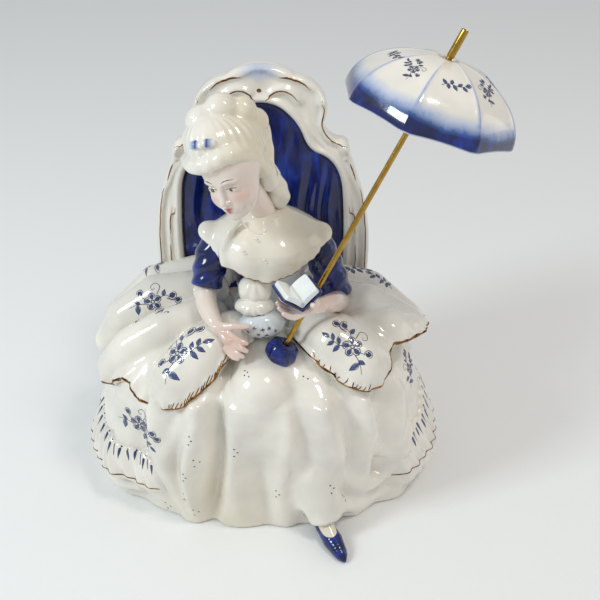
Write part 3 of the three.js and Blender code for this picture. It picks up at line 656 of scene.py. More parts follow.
def hip(side):
    centre = np.array((side * 41.5, -3, 68), np.float32)
    radii = np.array(HIP_RADII, np.float32)

    def distance(points):
        local = np.abs((points - centre) / radii)
        return (np.sum(local**HIP_SQUARENESS, -1) ** (1 / HIP_SQUARENESS) - 1) * 40

    return centre - radii, centre + radii, distance


LOBES = {
    "overskirt_right": [
        (limb([(-14, -26, 99), (-27, -36, 94), (-40, -43, 83)], [12, 15, 14.5]), 2.2),
        (
            limb([(-26, -12, 102), (-48, -20, 98), (-65, -24, 89), (-75, -23, 77)], [9, 10.5, 10.5, 9]),
            2.2,
        ),
        (limb([(-28, 6, 104), (-54, 3, 101), (-70, -2, 93), (-80, -5, 80)], [11, 12.5, 10.5, 8]), 2.4),
        (limb([(-28, 26, 101), (-56, 22, 95), (-76, 17, 80)], [12, 12.5, 10]), 4),
        (limb([(-22, 40, 96), (-46, 40, 86)], [10, 11]), 5),
    ],
    "overskirt_left": [
        (limb([(26, -20, 98), (38, -33, 98), (49, -38, 92)], [12, 15.5, 15.5]), 3.5),
        (limb([(54, -24, 98), (64, -23, 98), (73, -18, 94)], [12, 12.5, 10]), 4),
        (limb([(30, -2, 103), (54, -6, 101), (76, -6, 91)], [12, 12.5, 9]), 5),
        (limb([(30, 18, 101), (56, 14, 97), (76, 10, 84)], [12, 12, 9]), 4),
        (limb([(24, 38, 96), (48, 38, 86)], [11, 11]), 5),
    ],
}


def overskirt(name, side):
    low, high = ((-96, -66, 60), (2, 58, 114)) if side < 0 else ((-2, -66, 62), (96, 58, 114))
    clay = Clay(low, high, 0.8)
    clay.add(hip(side), 0)
    for shape, blend in LOBES[name]:
        clay.add(shape, blend)
    heading = np.arctan2(clay.points[..., 1], clay.points[..., 0]) / RAD
    edge = edge_height(heading)
    above = clay.points[..., 2] - edge
    flute = (1.5 + 0.9 * np.cos(RUFFLE * heading * RAD)) * np.exp(-((above / 5) ** 2))
    clay.field -= flute.astype(np.float32)
    clay.keep(-0.8 * above, 1.6)
    clay.keep(lambda p: -side * p[..., 0] + 0.3, 1.0)
    clay.keep(lambda p: -skirt_distance(p, -6, False), 0)
    piece = clay.piece(name, WHITE)
    return piece.paint()


# ---------------------------------------------------------------- chair
CHAIR_WIDTH = 115
CHAIR_HEIGHT = 211
CHAIR_FRONT = 33  # the chair back's face behind the hips
CHAIR_LEAN = 7 * RAD
SEAT_Z = SKIRT_HEIGHT * 0.62
CHAIR_HINGE = CHAIR_FRONT - (108 - SEAT_Z) * math.tan(CHAIR_LEAN)
CHAIR_RISE = (CHAIR_HEIGHT - SEAT_Z) / math.cos(CHAIR_LEAN)
# Half outlines from the top down: quadratic curves, each a control point and an end
CARTOUCHE = [
    ((0.18, 1.0), (0.3, 0.965)),
    ((0.47, 0.955), (0.56, 0.9)),
    ((0.63, 0.85), (0.56, 0.805)),
    ((0.58, 0.765), (0.69, 0.75)),
    ((0.8, 0.755), (0.8, 0.705)),
    ((0.84, 0.66), (0.93, 0.565)),
    ((1.0, 0.45), (1.0, 0.36)),
    ((1.0, 0.12), (0.8, 0.0)),
]
PANEL_OUTLINE = [
    ((0.2, 1.0), (0.34, 0.945)),
    ((0.44, 0.91), (0.5, 0.86)),
    ((0.56, 0.79), (0.72, 0.775)),
    ((0.94, 0.74), (0.98, 0.62)),
    ((1.02, 0.45), (1.0, 0.28)),
    ((0.99, 0.1), (0.94, 0.0)),
]
PANEL_FOOT = 14
PANEL_RISE = CHAIR_RISE * 0.785


def quadratic(start, control, end, steps):
    """Points along a quadratic curve."""
    t = np.linspace(0, 1, steps)[:, None]
    return (1 - t) ** 2 * start + 2 * t * (1 - t) * control + t * t * end


def outline(curves, half_width, height, foot=0.0):
    """A closed outline from the curves of one side, mirrored."""
    at = np.array((0.0, height + foot))
    half = [at[None]]
    for pair in curves:
        control, end = (np.array((x * half_width, y * height + foot)) for x, y in pair)
        half.append(quadratic(at, control, end, 9)[1:])
        at = end
    half = np.vstack(half)
    return np.vstack([half, half[1:][::-1] * (-1, 1)])


def to_segment(x, y, a, b):
    """Distance from points of a plane to a straight piece of line, and the share along it."""
    ax, ay = a
    ex, ey = b[0] - ax, b[1] - ay
    share = np.clip(((x - ax) * ex + (y - ay) * ey) / (ex * ex + ey * ey + 1e-9), 0, 1)
    return np.hypot(x - ax - share * ex, y - ay - share * ey), share


def flat_distance(x, y, shape):
    """Signed distance from points of a plane to a closed outline, below 0 inside."""
    best = np.full(x.shape, FAR)
    inside = np.zeros(x.shape, bool)
    for (ax, ay), (bx, by) in zip(shape, np.roll(shape, -1, 0)):
        best = np.minimum(best, to_segment(x, y, (ax, ay), (bx, by))[0])
        if by != ay:
            crosses = (ay > y) != (by > y)
            inside ^= crosses & (x < (bx - ax) * (y - ay) / (by - ay) + ax)
    return np.where(inside, -best, best)


def line_distance(x, y, path):
    """Distance from points of a plane to an open line, and how far along it, from 0 to 1."""
    path = np.asarray(path, float)
    best = np.full(x.shape, FAR)
    along = np.zeros(x.shape)
    count = len(path) - 1
    for k, (a, b) in enumerate(zip(path, path[1:])):
        away, share = to_segment(x, y, a, b)
        along = np.where(away < best, (k + share) / count, along)
        best = np.minimum(best, away)
    return best, along


def leaned(points):
    """From the chair back's plane (across, up, backwards) to the figure's frame."""
    x, up, back = points[..., 0], points[..., 1], points[..., 2]
    y = back * math.cos(CHAIR_LEAN) + up * math.sin(CHAIR_LEAN) + CHAIR_HINGE
    z = up * math.cos(CHAIR_LEAN) - back * math.sin(CHAIR_LEAN) + SEAT_Z
    return np.stack([x, y, z], -1)


OUTER = outline(CARTOUCHE, CHAIR_WIDTH / 2, CHAIR_RISE)
INNER = outline(PANEL_OUTLINE, CHAIR_WIDTH * 0.375, PANEL_RISE, PANEL_FOOT)
# Raised lines of the frame's relief: path on one side, half width, height
RELIEF = [
    ([(1, 154.5), (10, 150), (20, 148), (28, 141)], 1.8, 1.6),
    ([(3, 138), (7, 142), (12, 143), (17, 140.5), (22, 134)], 1.9, 2.4),
    ([(26, 143), (31, 140), (32.6, 134), (31, 126), (34, 118), (40, 113)], 1.5, 2.4),
    ([(22, 132), (26, 122), (32, 114), (41, 106), (47, 97), (51, 86)], 1.5, 1.6),
    ([(40, 114.5), (44.5, 112.5), (45, 108), (42, 105)], 1.5, 2.2),
    ([(49.5, 98), (53, 84), (54.6, 66), (54, 44), (50, 20)], 1.3, 1.8),
    ([(47, 88), (49.4, 72), (50, 54), (49.2, 36), (47.5, 22)], 1.1, 1.4),
    ([(46, 101), (50, 92), (52, 84)], 0.9, 1.2),
]
# Round bosses: place on one side, radius, height
SCROLLS = [(31.5, 136.5, 3.0, 2.6), (43, 111.5, 3.0, 2.8), (0, 150, 5.0, 1.2)]
CREST_WASH = 0.42  # how blue the middle of the crest is


def chair_relief(across, up):
    """How far the front of the frame stands out, by place on it."""
    side = np.abs(across)
    inner = flat_distance(side, up, INNER)
    outer = flat_distance(side, up, OUTER)
    height = 2.4 * np.exp(-(((inner - 2.2) / 1.7) ** 2))
    height += 1.5 * np.exp(-(((outer + 1.8) / 1.6) ** 2))
    for path, width, rise in RELIEF:
        away, along = line_distance(side, up, smooth_path(path))
        taper = np.clip(8 * along * (1 - along), 0, 1)
        height = np.maximum(height, rise * taper * np.exp(-((away / width) ** 2)))
    for x, y, radius, rise in SCROLLS:
        height += rise * np.exp(-(((side - x) ** 2 + (up - y) ** 2) / radius**2))
    return height


def leaned_mesh(clay):
    """The mesh of a flat model in its leaning place, with its faces looking out."""
    points, faces = clay.mesh()
    placed, faces = leaned(points), np.array(faces)
    return placed, (faces[:, ::-1] if outward(placed, faces) < 0 else faces).tolist()


def chair_frame():
    """The white cartouche, modelled flat and then leaned: raised at the front, open for the panel."""
    clay = Clay((-62, -2, -6), (62, CHAIR_RISE + 4, 16), 0.7)
    across, up = clay.points[:, :, 0, 0], clay.points[:, :, 0, 1]
    relief = chair_relief(across, up)[:, :, None]
    outer, inner = (flat_distance(across, up, shape)[:, :, None] for shape in (OUTER, INNER))
    back = clay.points[..., 2]
    clay.fill(outer)
    clay.keep(0.8 - relief - back, 3.0)
    rear = 1.6 * np.exp(-(((outer + 4.5) / 1.8) ** 2)) + 1.2 * np.exp(-(((outer + 13) / 2.2) ** 2))
    clay.keep(back - 11.4 - rear, 3.0)
    clay.keep(-np.maximum(inner, back - 9.0), 1.2)
    flat = clay.mesh()[0]
    placed, faces = leaned_mesh(clay)
    piece = Piece("chair_frame", placed, faces, WHITE, replaces=["chair_frame"])
    crest = np.exp(-((flat[:, 0] / 9) ** 2) - ((flat[:, 1] - 152) / 4.5) ** 2)
    crest = CREST_WASH * crest * (flat[:, 2] < 4)
    return piece.paint(cobalt=crest)


# Folds of the panel: place, half width, height
PANEL_FOLDS = [
    (-35, 3, 0.8), (12, 3.5, 0.8), (20, 2.2, 1.3), (26, 2.4, -0.9), (31, 2.0, 1.2), (37, 2.4, 0.9),
]


def panel_relief(across, up):
    """Soft upright folds, deeper towards her left."""
    wander = 2.0 * np.sin(up / 17) + 1.2 * np.sin(up / 7.5 + 1)
    folds = np.zeros(np.shape(across))
    for place, width, depth in PANEL_FOLDS:
        folds = folds + depth * np.exp(-(((across - place - wander * 0.8) / width) ** 2))
    return folds * np.clip((130 - up) / 40, 0, 1)


def chair_panel():
    clay = Clay((-46, PANEL_FOOT - 3, -2), (46, PANEL_FOOT + PANEL_RISE + 3, 10), 0.7)
    across, up = clay.points[:, :, 0, 0], clay.points[:, :, 0, 1]
    inner = flat_distance(across, up, INNER)[:, :, None]
    relief = panel_relief(across, up)[:, :, None]
    back = clay.points[..., 2]
    clay.fill(inner + 0.2)
    clay.keep(3.0 - relief - back, 1.5)
    clay.keep(back - 8.4, 1.0)
    placed, faces = leaned_mesh(clay)
    return Piece("chair_panel", placed, faces, BLUE, slot="cobalt_glaze", replaces=["chair_panel"])


def chair_base():
    """The chair's lower back: two feet with an arch between them."""
    half, top, arch = 46, 104, 35
    curves = [
        ((-half, top), (-half * 0.9, top * 0.4), (-half - 3, 0)),
        ((-half * 0.74, 0), (-half * 0.55, arch), (0, arch)),
        ((0, arch), (half * 0.55, arch), (half * 0.74, 0)),
        ((half + 3, 0), (half * 0.9, top * 0.4), (half, top)),
    ]
    shape = np.vstack([quadratic(*map(np.array, curve), 12) for curve in curves])
    clay = Clay((-52, 40, -2), (52, 60, 108), 0.9)
    x, z = clay.points[:, 0, :, 0], clay.points[:, 0, :, 2]
    outside = flat_distance(x, z, shape)
    y = clay.points[..., 1]
    ribs = np.exp(-(((np.abs(x) - 30 - z * 0.03) / 3) ** 2))
    ribs = ribs + 1.2 * np.exp(-(((outside + 3) / 1.6) ** 2))
    clay.fill(outside[:, None, :])
    clay.keep(y - 55.6 - ribs[:, None, :], 2.5)
    clay.keep(46 - y, 1.0)
    clay.keep(-clay.points[..., 2], 0.8)
    return clay.piece("chair_base", WHITE)


# ---------------------------------------------------------------- parasol
MOUTH = np.array((13.2, -38, 102.0))  # of the socket
ROD_AXIS = np.array((0.448, 0.116, 0.886))
ROD_AXIS = ROD_AXIS / np.linalg.norm(ROD_AXIS)
ROD_RADIUS = 1.3
SOCKET_DEPTH = 8.5
APEX = MOUTH + 155 * ROD_AXIS
DOME_AXIS = turned((0, -9, 0)) @ ROD_AXIS  # the parasol sits askew on its rod
GORES = 8
GORE = 2 * math.pi / GORES
CANOPY_RADIUS, CANOPY_HEIGHT = 39.5, 26.5
INNER_RADIUS, INNER_HEIGHT, INNER_DROP = 37.4, 24.6, 2.1
CANOPY_SAG = 0.012
CANOPY_HOLE = 0.075  # share of the way from the top where the rod's hole starts


def upright_to(axis):
    """The shortest turn from +Z to an axis, as a matrix."""
    return np.array(Vector((0, 0, 1)).rotation_difference(Vector(axis)).to_matrix())


DOME = upright_to(DOME_AXIS) @ turned((0, 0, 22.5))


def dome_points(share, angle, radius, height, sag):
    """Points of a gored dome: share runs from the top, 0, to the rim, 1."""
    inside = (angle % GORE) - GORE / 2
    flat = math.cos(GORE / 2) / np.cos(inside)
    between = np.cos(inside * math.pi / GORE)
    r = radius * np.sin(share * math.pi / 2) * (1 - 0.75 * (1 - flat))
    r = r * (1 - sag * between * share)
    drop = -height * (1 - np.cos(share * math.pi / 2)) + 0.8 * between * share**3
    local = np.stack([r * np.cos(angle), r * np.sin(angle), drop * np.ones_like(r)], -1)
    return local @ DOME.T + APEX


def canopy():
    """The parasol: outside with a ridge between gores, then its inside back up to the hole."""
    around = np.linspace(0, 2 * math.pi, 160, endpoint=False)
    shares = np.linspace(CANOPY_HOLE, 1, 46)
    off_ridge = (around + GORE / 2) % GORE - GORE / 2
    rings = []
    for share in shares:
        ridge = np.exp(-((off_ridge / 0.035) ** 2)) * 0.5 * min(1, share * 3)
        ring = dome_points(share, around, CANOPY_RADIUS, CANOPY_HEIGHT, CANOPY_SAG)
        rings.append(ring + ridge[:, None] * DOME_AXIS)
    for share in np.linspace(0.99, CANOPY_HOLE, 30):
        ring = dome_points(share, around, INNER_RADIUS, INNER_HEIGHT, CANOPY_SAG)
        rings.append(ring - INNER_DROP * DOME_AXIS)
    points, faces = lofted(rings, capped=False)
    name = "parasol_canopy"
    piece = Piece(
        name, points, outward_faces(points, faces), WHITE, body="parasol_top", replaces=[name]
    )
    inside = np.abs((around % GORE) - GORE / 2) / (GORE / 2)
    share = shares[:, None]
    wash = np.clip((share - 0.68 + 0.05 * inside - 0.03 * np.cos(around)) / 0.26, 0, 1) ** 1.2
    rib = 0.8 * np.exp(-(((1 - inside) / 0.035) ** 2)) * np.clip(share * 3 - 0.4, 0, 0.6)
    outer = np.where(share > 0.985, 0.0, np.maximum(wash, rib))
    cobalt = np.zeros(len(points))
    cobalt[: outer.size] = outer.ravel()
    return piece.paint(cobalt=cobalt)


# ---------------------------------------------------------------- flounces
def flounce(name, first, last, bottom, top, slant, rows):
    """A pleated strip standing off the skirt between two headings, with a fold under its edge."""
    ways = [np.array((math.cos(a * RAD), math.sin(a * RAD))) for a in (first, last)]
    corners = [way * (95, 68) for way in ways]
    low = np.minimum(*corners) - 8
    high = np.maximum(*corners) + 8
    inner = [way * (60, 45) for way in ways]
    low = np.minimum(low, np.minimum(*inner))
    high = np.maximum(high, np.maximum(*inner))
    clay = Clay((*low, bottom - 10), (*high, top + 6), 0.6)
    angle, radius = polar(clay.points)
    height = clay.points[..., 2]
    heading = angle / RAD
    start = apart(heading, first)
    whole = last - first
    share = start / whole
    raised = height - slant * share
    rise = (raised - bottom) / (top - bottom)
    pleat = np.cos(heading * rows + 9 * rise)
    ends = np.clip(np.minimum(share + 0.1, 1 - share) / 0.24, 0, 1) ** 0.7
    up = np.clip(rise, 0, 1)
    swell = (1.8 + 6.4 * (1 - up) ** 0.8 + 1.0 * pleat * (1 - 0.5 * up)) * ends
    swell = swell - 0.8 * (1 - ends)
    wall = skirt_radius(angle, height)
    clay.fill(0.85 * (radius - wall - swell))
    clay.keep(0.9 * (bottom + 0.8 * pleat - raised), 1.5)
    clay.keep(0.9 * (raised - top - 0.5 * pleat), 1.5)
    clay.keep(-0.9 * radius * RAD * start * np.sign(whole), 1.5)
    clay.keep(0.9 * radius * RAD * (start - whole) * np.sign(whole), 1.5)
    clay.keep(-(radius - wall + 1.5), 0)
    piece = clay.piece(name, WHITE)
    return piece.paint()


# ---------------------------------------------------------------- body
def bodice():
    levels = np.array([0, 0.12, 0.26, 0.45, 0.66, 0.82, 0.93, 0.98, 1.0]) * 66 + 92
    widths = np.array([0.95, 0.78, 0.64, 0.74, 0.9, 0.98, 0.74, 0.34, 0.1]) * 23.8
    clay = Clay((-24, -24, 86), (34, 22, 160), 0.6)
    x, y, z = (clay.points[..., k] for k in range(3))
    around = np.arctan2((y + 2) / 0.72, x - 4)
    pleats = 0.25 * np.cos(26 * around) * np.clip((126 - z) / 20, 0, 1)
    radius = np.hypot(x - 4, (y + 2) / 0.72)
    clay.fill(0.85 * (radius - np.interp(z, levels, widths) - pleats))
    clay.add(ball((-4, -14, 136), (8, 8, 8)), 4)
    clay.add(ball((11, -14, 136), (8, 8, 8)), 4)
    clay.keep(lambda p: 90 - p[..., 2], 2)
    clay.keep(lambda p: p[..., 2] - 156, 2)
    # The greyer, bluer white is painted shade under the cape and between the arms
    piece = clay.piece("bodice", SHADED_COOL_WHITE)
    x, y, z = piece.points.T
    sash = np.clip((z - 115) / 3, 0, 1) * np.clip((-2 - x) / 4, 0, 1) * np.clip(-y / 6, 0, 1)
    return piece.paint(cobalt=sash)


CAPE_CENTRE = (3.5, -6.0)
CAPE_LEVELS = np.array([-24, -17, -11, -6, -2, 2, 6, 10, 12, 14]) + 148.0
CAPE_RADII = np.array([27, 28.3, 29, 29.2, 28.4, 25, 19.5, 12.6, 9.4, 7.8])
CAPE_EDGE = [
    (-180, 145), (-160, 142.5), (-135, 138), (-112, 133.5), (-90, 130.5), (-68, 133), (-45, 137),
    (-20, 141.5), (0, 144), (40, 137), (90, 133), (140, 138), (180, 145),
]


def cape_edge(heading):
    stops, heights = np.array(CAPE_EDGE).T
    return np.interp(heading, stops, heights) + 0.35 * np.cos(40 * heading * RAD)


def cape():
    clay = Clay((-34, -38, 122), (42, 24, 165), 0.55)
    x, y, z = (clay.points[..., k] for k in range(3))
    cx, cy = CAPE_CENTRE
    radius = np.hypot(x - cx, (y - cy) / 0.8)
    heading = np.arctan2(y - cy, x - cx) / RAD
    wave = 0.45 * np.cos(13 * heading * RAD) * np.clip((148 - z) / 12, 0, 1)
    clay.fill(0.75 * (radius - np.interp(z, CAPE_LEVELS, CAPE_RADII) - wave))
    clay.add(ball((-25, -7, 148), (4.5, 6, 4)), 5)
    clay.add(ball((31, -5, 145.5), (4.5, 6, 4)), 5)
    clay.add(ball((-5, -21, 143), (8, 7, 8)), 6)
    clay.add(ball((10, -21, 143), (8, 7, 8)), 6)
    crease = [(-8, -17, 159.5), (-13, -20, 154.5), (-16.5, -23, 147), (-16, -24.5, 138)]
    clay.add(limb(crease, [1.2, 1.7, 1.9, 1.5]), 3)
    clay.keep(0.9 * (cape_edge(heading) - z), 1.3)
    clay.keep(z - 160, 1.5)
    inner = np.hypot(x - cx, (y - cy) / 0.8) - np.interp(z + 2.2, CAPE_LEVELS, CAPE_RADII - 3)
    clay.keep(-np.maximum(0.75 * inner, z - 138), 1.0)
    piece = clay.piece("cape", WHITE)
    # Warmer towards her left: painted warm shade on the side away from the window light
    warm = 0.55 * np.clip((piece.points[:, 0] + 20) / 50, 0, 1)
    return piece.paint(warmth=warm)


# ---------------------------------------------------------------- head
HEAD_CENTRE = np.array((-9.0, -20.2, 186.4))
HEAD_SIZE = 1.12
HEAD_TURN = turned((0, 0, -25)) @ turned((11, 0, 0)) @ turned((0, -17, 0))


def on_head(*local):
    return tuple(HEAD_CENTRE + HEAD_SIZE * (HEAD_TURN @ np.array(local, float)))


def face_ball(centre, radii):
    return ball(on_head(*centre), tuple(HEAD_SIZE * r for r in radii), HEAD_TURN)


def face_line(points, radii):
    return limb([on_head(*p) for p in points], [HEAD_SIZE * r for r in radii])


def head():
    clay = Clay((-30, -42, 142), (16, 4, 210), 0.42)
    clay.add(limb([(5, -6, 143), (2, -8, 160), (-5, -14, 176)], [9.5, 6.2, 6.6]), 0)
    clay.add(face_ball((0, 2, 5), (12, 13.2, 11.5)), 4)
    clay.add(face_ball((0, -3.6, -3.5), (9.8, 9.3, 12)), 4)
    clay.add(face_ball((0, -4.8, 6), (10, 8.4, 8)), 4)
    clay.add(face_ball((0, -6.8, -11.6), (5.4, 5.2, 4.8)), 5)
    for side in (-1, 1):
        clay.add(face_ball((side * 5.0, -8.6, -6.0), (4.2, 3.6, 4.4)), 3)
        clay.cut(face_ball((side * 4.7, -14.2, 0.2), (3.3, 2.3, 1.9)), 2.4)
        clay.add(face_ball((side * 4.6, -10.7, -0.5), (2.7, 1.75, 1.7)), 0.8)
        brow = [(side * 1.8, -12.9, 2.9), (side * 4.6, -12.9, 3.6), (side * 7.6, -10.6, 2.6)]
        clay.add(face_line(brow, [0.5, 0.7, 0.4]), 1.6)
        lid = [(side * 2.3, -12.1, 0.1), (side * 4.6, -12.7, 0.9), (side * 7.0, -11.1, 0.1)]
        clay.add(face_line(lid, [0.2, 0.34, 0.2]), 0.5)
    clay.add(face_line([(0, -12.4, 1.4), (0, -13.9, -2.6), (0, -15.2, -5.0)], [1.0, 1.15, 1.35]), 1.8)
    for side in (-1, 1):
        clay.add(face_ball((side * 1.45, -13.5, -5.5), (1.05, 1.2, 0.9)), 0.9)
    clay.add(face_ball((0, -11.5, -9.3), (3.6, 2.3, 2.6)), 2)
    upper = [(-2.2, -12.7, -8.9), (-0.6, -13.6, -8.3), (0.6, -13.6, -8.3), (2.2, -12.7, -8.9)]
    lower = [(-1.7, -12.7, -9.7), (0, -13.3, -10.1), (1.7, -12.7, -9.7)]
    parting = [(-2.3, -13.2, -9.1), (0, -14.1, -9.1), (2.3, -13.2, -9.1)]
    clay.add(face_line(upper, [0.25, 0.6, 0.6, 0.25]), 0.6)
    clay.add(face_line(lower, [0.3, 0.8, 0.3]), 0.6)
    clay.cut(face_line(parting, [0.1, 0.16, 0.1]), 0.4)
    clay.add(face_ball((0, -10.9, -13.6), (2.7, 2.2, 2.2)), 2.4)
    clay.keep(lambda p: 144 - p[..., 2], 1)
    piece = clay.piece("head", SKIN, slot="flesh_porcelain")
    local = (piece.points - HEAD_CENTRE) @ HEAD_TURN / HEAD_SIZE
    x, y, z = local.T

    def spot(centre, size):
        return np.exp(-sum(((v - c) / s) ** 2 for v, c, s in zip((np.abs(x), y, z), centre, size)))

    cheeks = 0.45 * spot((6.4, -10.5, -4.6), (3.2, 5, 2.6))
    lips = 1.6 * spot((0, -13.6, -8.6), (2.0, 1.5, 0.75))
    lips = lips + 1.6 * spot((0, -13.2, -10), (1.6, 1.5, 0.8)) - 0.3
    return piece.paint(blush=cheeks, warmth=lips)


HAIR_LUMPS = [
    ((-24, -13, 208), 7.0), ((-15, -10, 211.5), 8.0), ((-6, -8, 210), 6.8),
    ((0, -6, 204.5), 6.0), ((1.5, -5, 197), 5.2),
]
HAIR_ROLL = [
    (-29.5, -20, 192), (-27.5, -27, 193), (-23.5, -31.5, 194.5), (-18.5, -33.4, 197.0),
    (-13.5, -33, 199.5), (-8.5, -31, 199.8), (-4, -26.5, 197.5), (0, -20, 191.5),
    (3, -14, 184),
]


def strand_grooves(points, centre, turn, count, depth):
    """Combed lines that run from the hairline to the crown."""
    local = (points - np.array(centre)) @ turn
    around = np.arctan2(local[..., 1], local[..., 0])
    level = np.linalg.norm(local[..., :2], axis=-1)
    wobble = np.sin(local[..., 2] / 4.5)
    uneven = 1 + 0.7 * np.sin(5 * around + local[..., 2] / 6)
    return depth * uneven * np.cos(count * around + 2 * wobble) * np.clip((level - 3) / 8, 0, 1)


def hair():
    clay = Clay((-36, -42, 164), (14, 12, 222), 0.5)
    clay.add(ball((-12.5, -14, 196), (16.5, 17, 15.5)), 0)
    clay.add(ball((-19, -21, 202), (11.5, 11.5, 10)), 5)
    clay.add(ball((-4.5, -6, 191), (9, 11, 13)), 5)
    clay.add(ball((-10, -1, 186), (12, 9.5, 15)), 5)
    for centre, radius in HAIR_LUMPS:
        clay.add(ball(centre, (radius, radius, radius)), 1.8)
    clay.add(limb([(1, -2, 199), (2.5, -4, 190), (3, -5, 181)], [5.2, 5.4, 5]), 2.0)
    clay.add(limb([(-28.5, -12, 200), (-28, -8, 190), (-24, -2, 180)], [4.5, 5, 5]), 3)
    clay.add(limb(smooth_path(HAIR_ROLL, 3), 3.7), 3)
    clay.add(limb([(2, -14, 188), (4.5, -10, 181), (5.5, -8, 175)], [3.8, 4.8, 5.0]), 2)
    clay.press(lambda p: strand_grooves(p, (-13, -12, 190), HEAD_TURN, 26, 0.15))
    clay.cut(face_ball((0, -15.0, -6.0), (9.4, 9.5, 13.0)), 1.5)
    piece = clay.piece("hair", WHITE)
    x = piece.points[:, 0]
    # Warmer on her left side of the hair, above 175 mm: painted warm shade on the side away from the
    # window light
    warm = 0.6 * np.clip((x + 22) / 16, 0, 1) * np.clip((piece.points[:, 2] - 175) / 15, 0, 1)
    return piece.paint(warmth=warm)


def ringlet():
    clay = Clay((-2, -18, 154), (24, 8, 194), 0.4)
    stops = [(3.5, -7, 184), (5.5, -6.5, 178), (8.6, -5, 171), (10.2, -4.5, 165), (9.8, -4.5, 162)]
    path = smooth_path(stops, 5)
    radii = np.interp(np.linspace(0, 1, len(path)), [0, 0.35, 0.7, 0.9, 1], [4.2, 5.0, 5.3, 4.4, 3.0])
    clay.add(limb(path, radii), 0)

    def twist(points):
        around = np.arctan2(points[..., 1] + 5, points[..., 0] - 8.5)
        return 0.26 * np.cos(3 * around + points[..., 2] * 0.8)

    clay.press(twist)
    piece = clay.piece("hair_ringlet", WHITE)
    # An even slight warmth: painted warm shade, as on the hair
    return piece.paint(warmth=0.2)


def hair_surface(place):
    """The point of the hair that is seen from the front and above at a place."""
    way = Vector(FRONT)
    hit, _, _, _ = hair_piece.tree.ray_cast(Vector(place) + 40 * way, -way, 80)
    return np.array(hit)


def hair_bow():
    clay = Clay((-34, -40, 196), (-10, -24, 212), 0.3)
    knot = hair_surface((-22.6, -30, 203.8)) + (0, -0.5, 0.3)
    for reach in ((-4.2, 0, 0.2), (4.8, 0, 1.0)):
        end = hair_surface(knot + reach) + (0, -0.2, 0.3)
        middle = (knot + end) / 2 + (0, -0.3, 0.5)
        clay.add(limb([knot, middle, end], [0.9, 2.0, 1.8], ((0.2, -0.7, 0.7), 0.7)), 0.6)
    clay.add(ball(tuple(knot + (0, -0.6, 0)), (1.25, 1.3, 1.6)), 0.4)
    piece = clay.piece("hair_bow", WHITE, slot="cobalt_glaze")
    away = np.abs(piece.points[:, 0] - knot[0])
    cobalt = 0.75 * np.clip((away - 0.8) / 1.6, 0, 1) * np.clip((6 - away) / 3.4, 0, 1)
    return piece.paint(cobalt=cobalt)


# ---------------------------------------------------------------- arms and hands
def sleeve(name, path, radii, cuff):
    path = smooth_path(path, 4)
    widths = np.interp(np.linspace(0, 1, len(path)), np.linspace(0, 1, len(radii)), radii)
    clay = Clay(path.min(0) - 14, path.max(0) + 14, 0.5)
    clay.add(limb(path, widths), 0)
    end, before = path[-1], path[-4]
    way = (end - before) / np.linalg.norm(end - before)

    def creases(points):
        along = (points - path[0]) @ way
        side = (points - path[0]) @ np.cross(way, (0, 1, 0))
        return 0.4 * np.sin(along * 0.75 + side * 0.45) * np.clip(along / 8, 0, 1)

    clay.press(creases)
    lip = end + way * cuff
    clay.keep((clay.points - lip) @ way, 1.4)
    mouth = lip + way * 1.5
    inside = lambda p: np.linalg.norm(p - mouth, axis=-1) - widths[-1] * 0.82
    clay.cut((lip - 9, lip + 9, inside), 0.8)
    return clay.piece(name, BLUE, slot="cobalt_glaze")


def add_fingers(clay, fingers, radii):
    for finger in fingers:
        clay.add(limb(smooth_path(finger, 3), radii), 0.5)


def forearm_right():
    clay = Clay((-36, -54, 94), (4, -8, 126), 0.42)
    arm = smooth_path([(-27, -15, 118), (-26, -22, 114.5), (-22.5, -31, 112), (-19.5, -36, 110.5)], 4)
    clay.add(limb(arm, np.linspace(6.1, 3.5, len(arm))), 0)
    clay.add(limb([(-19.5, -36, 110), (-14.5, -41, 106.5)], [3.5, 4.2], ((0.3, 0.6, 0.75), 0.62)), 2.5)
    fingers = [
        [(-14, -40, 109.5), (-9.5, -43, 108.2), (-5.5, -44, 107)],
        [(-14, -42, 107), (-9.5, -45, 105.6), (-5.5, -46, 104)],
        [(-14.5, -43, 105), (-11, -46.2, 103), (-7.5, -47, 101.4)],
        [(-15.5, -43.5, 103.6), (-12.6, -46.6, 101.6), (-10, -47.4, 100.4)],
    ]
    add_fingers(clay, fingers, [1.75, 1.7, 1.6, 1.55, 1.5, 1.4, 1.2])
    thumb = [(-17, -37, 112), (-12, -39, 113.5), (-8, -40, 114), (-4.5, -40.5, 114.6)]
    clay.add(limb(thumb, [2.0, 1.9, 1.5, 1.1]), 1.6)
    piece = clay.piece("forearm_right", SKIN, slot="flesh_porcelain")
    blush = 0.35 * np.exp(-(((piece.points[:, 1] + 44) / 5) ** 2))
    return piece.paint(blush=blush)


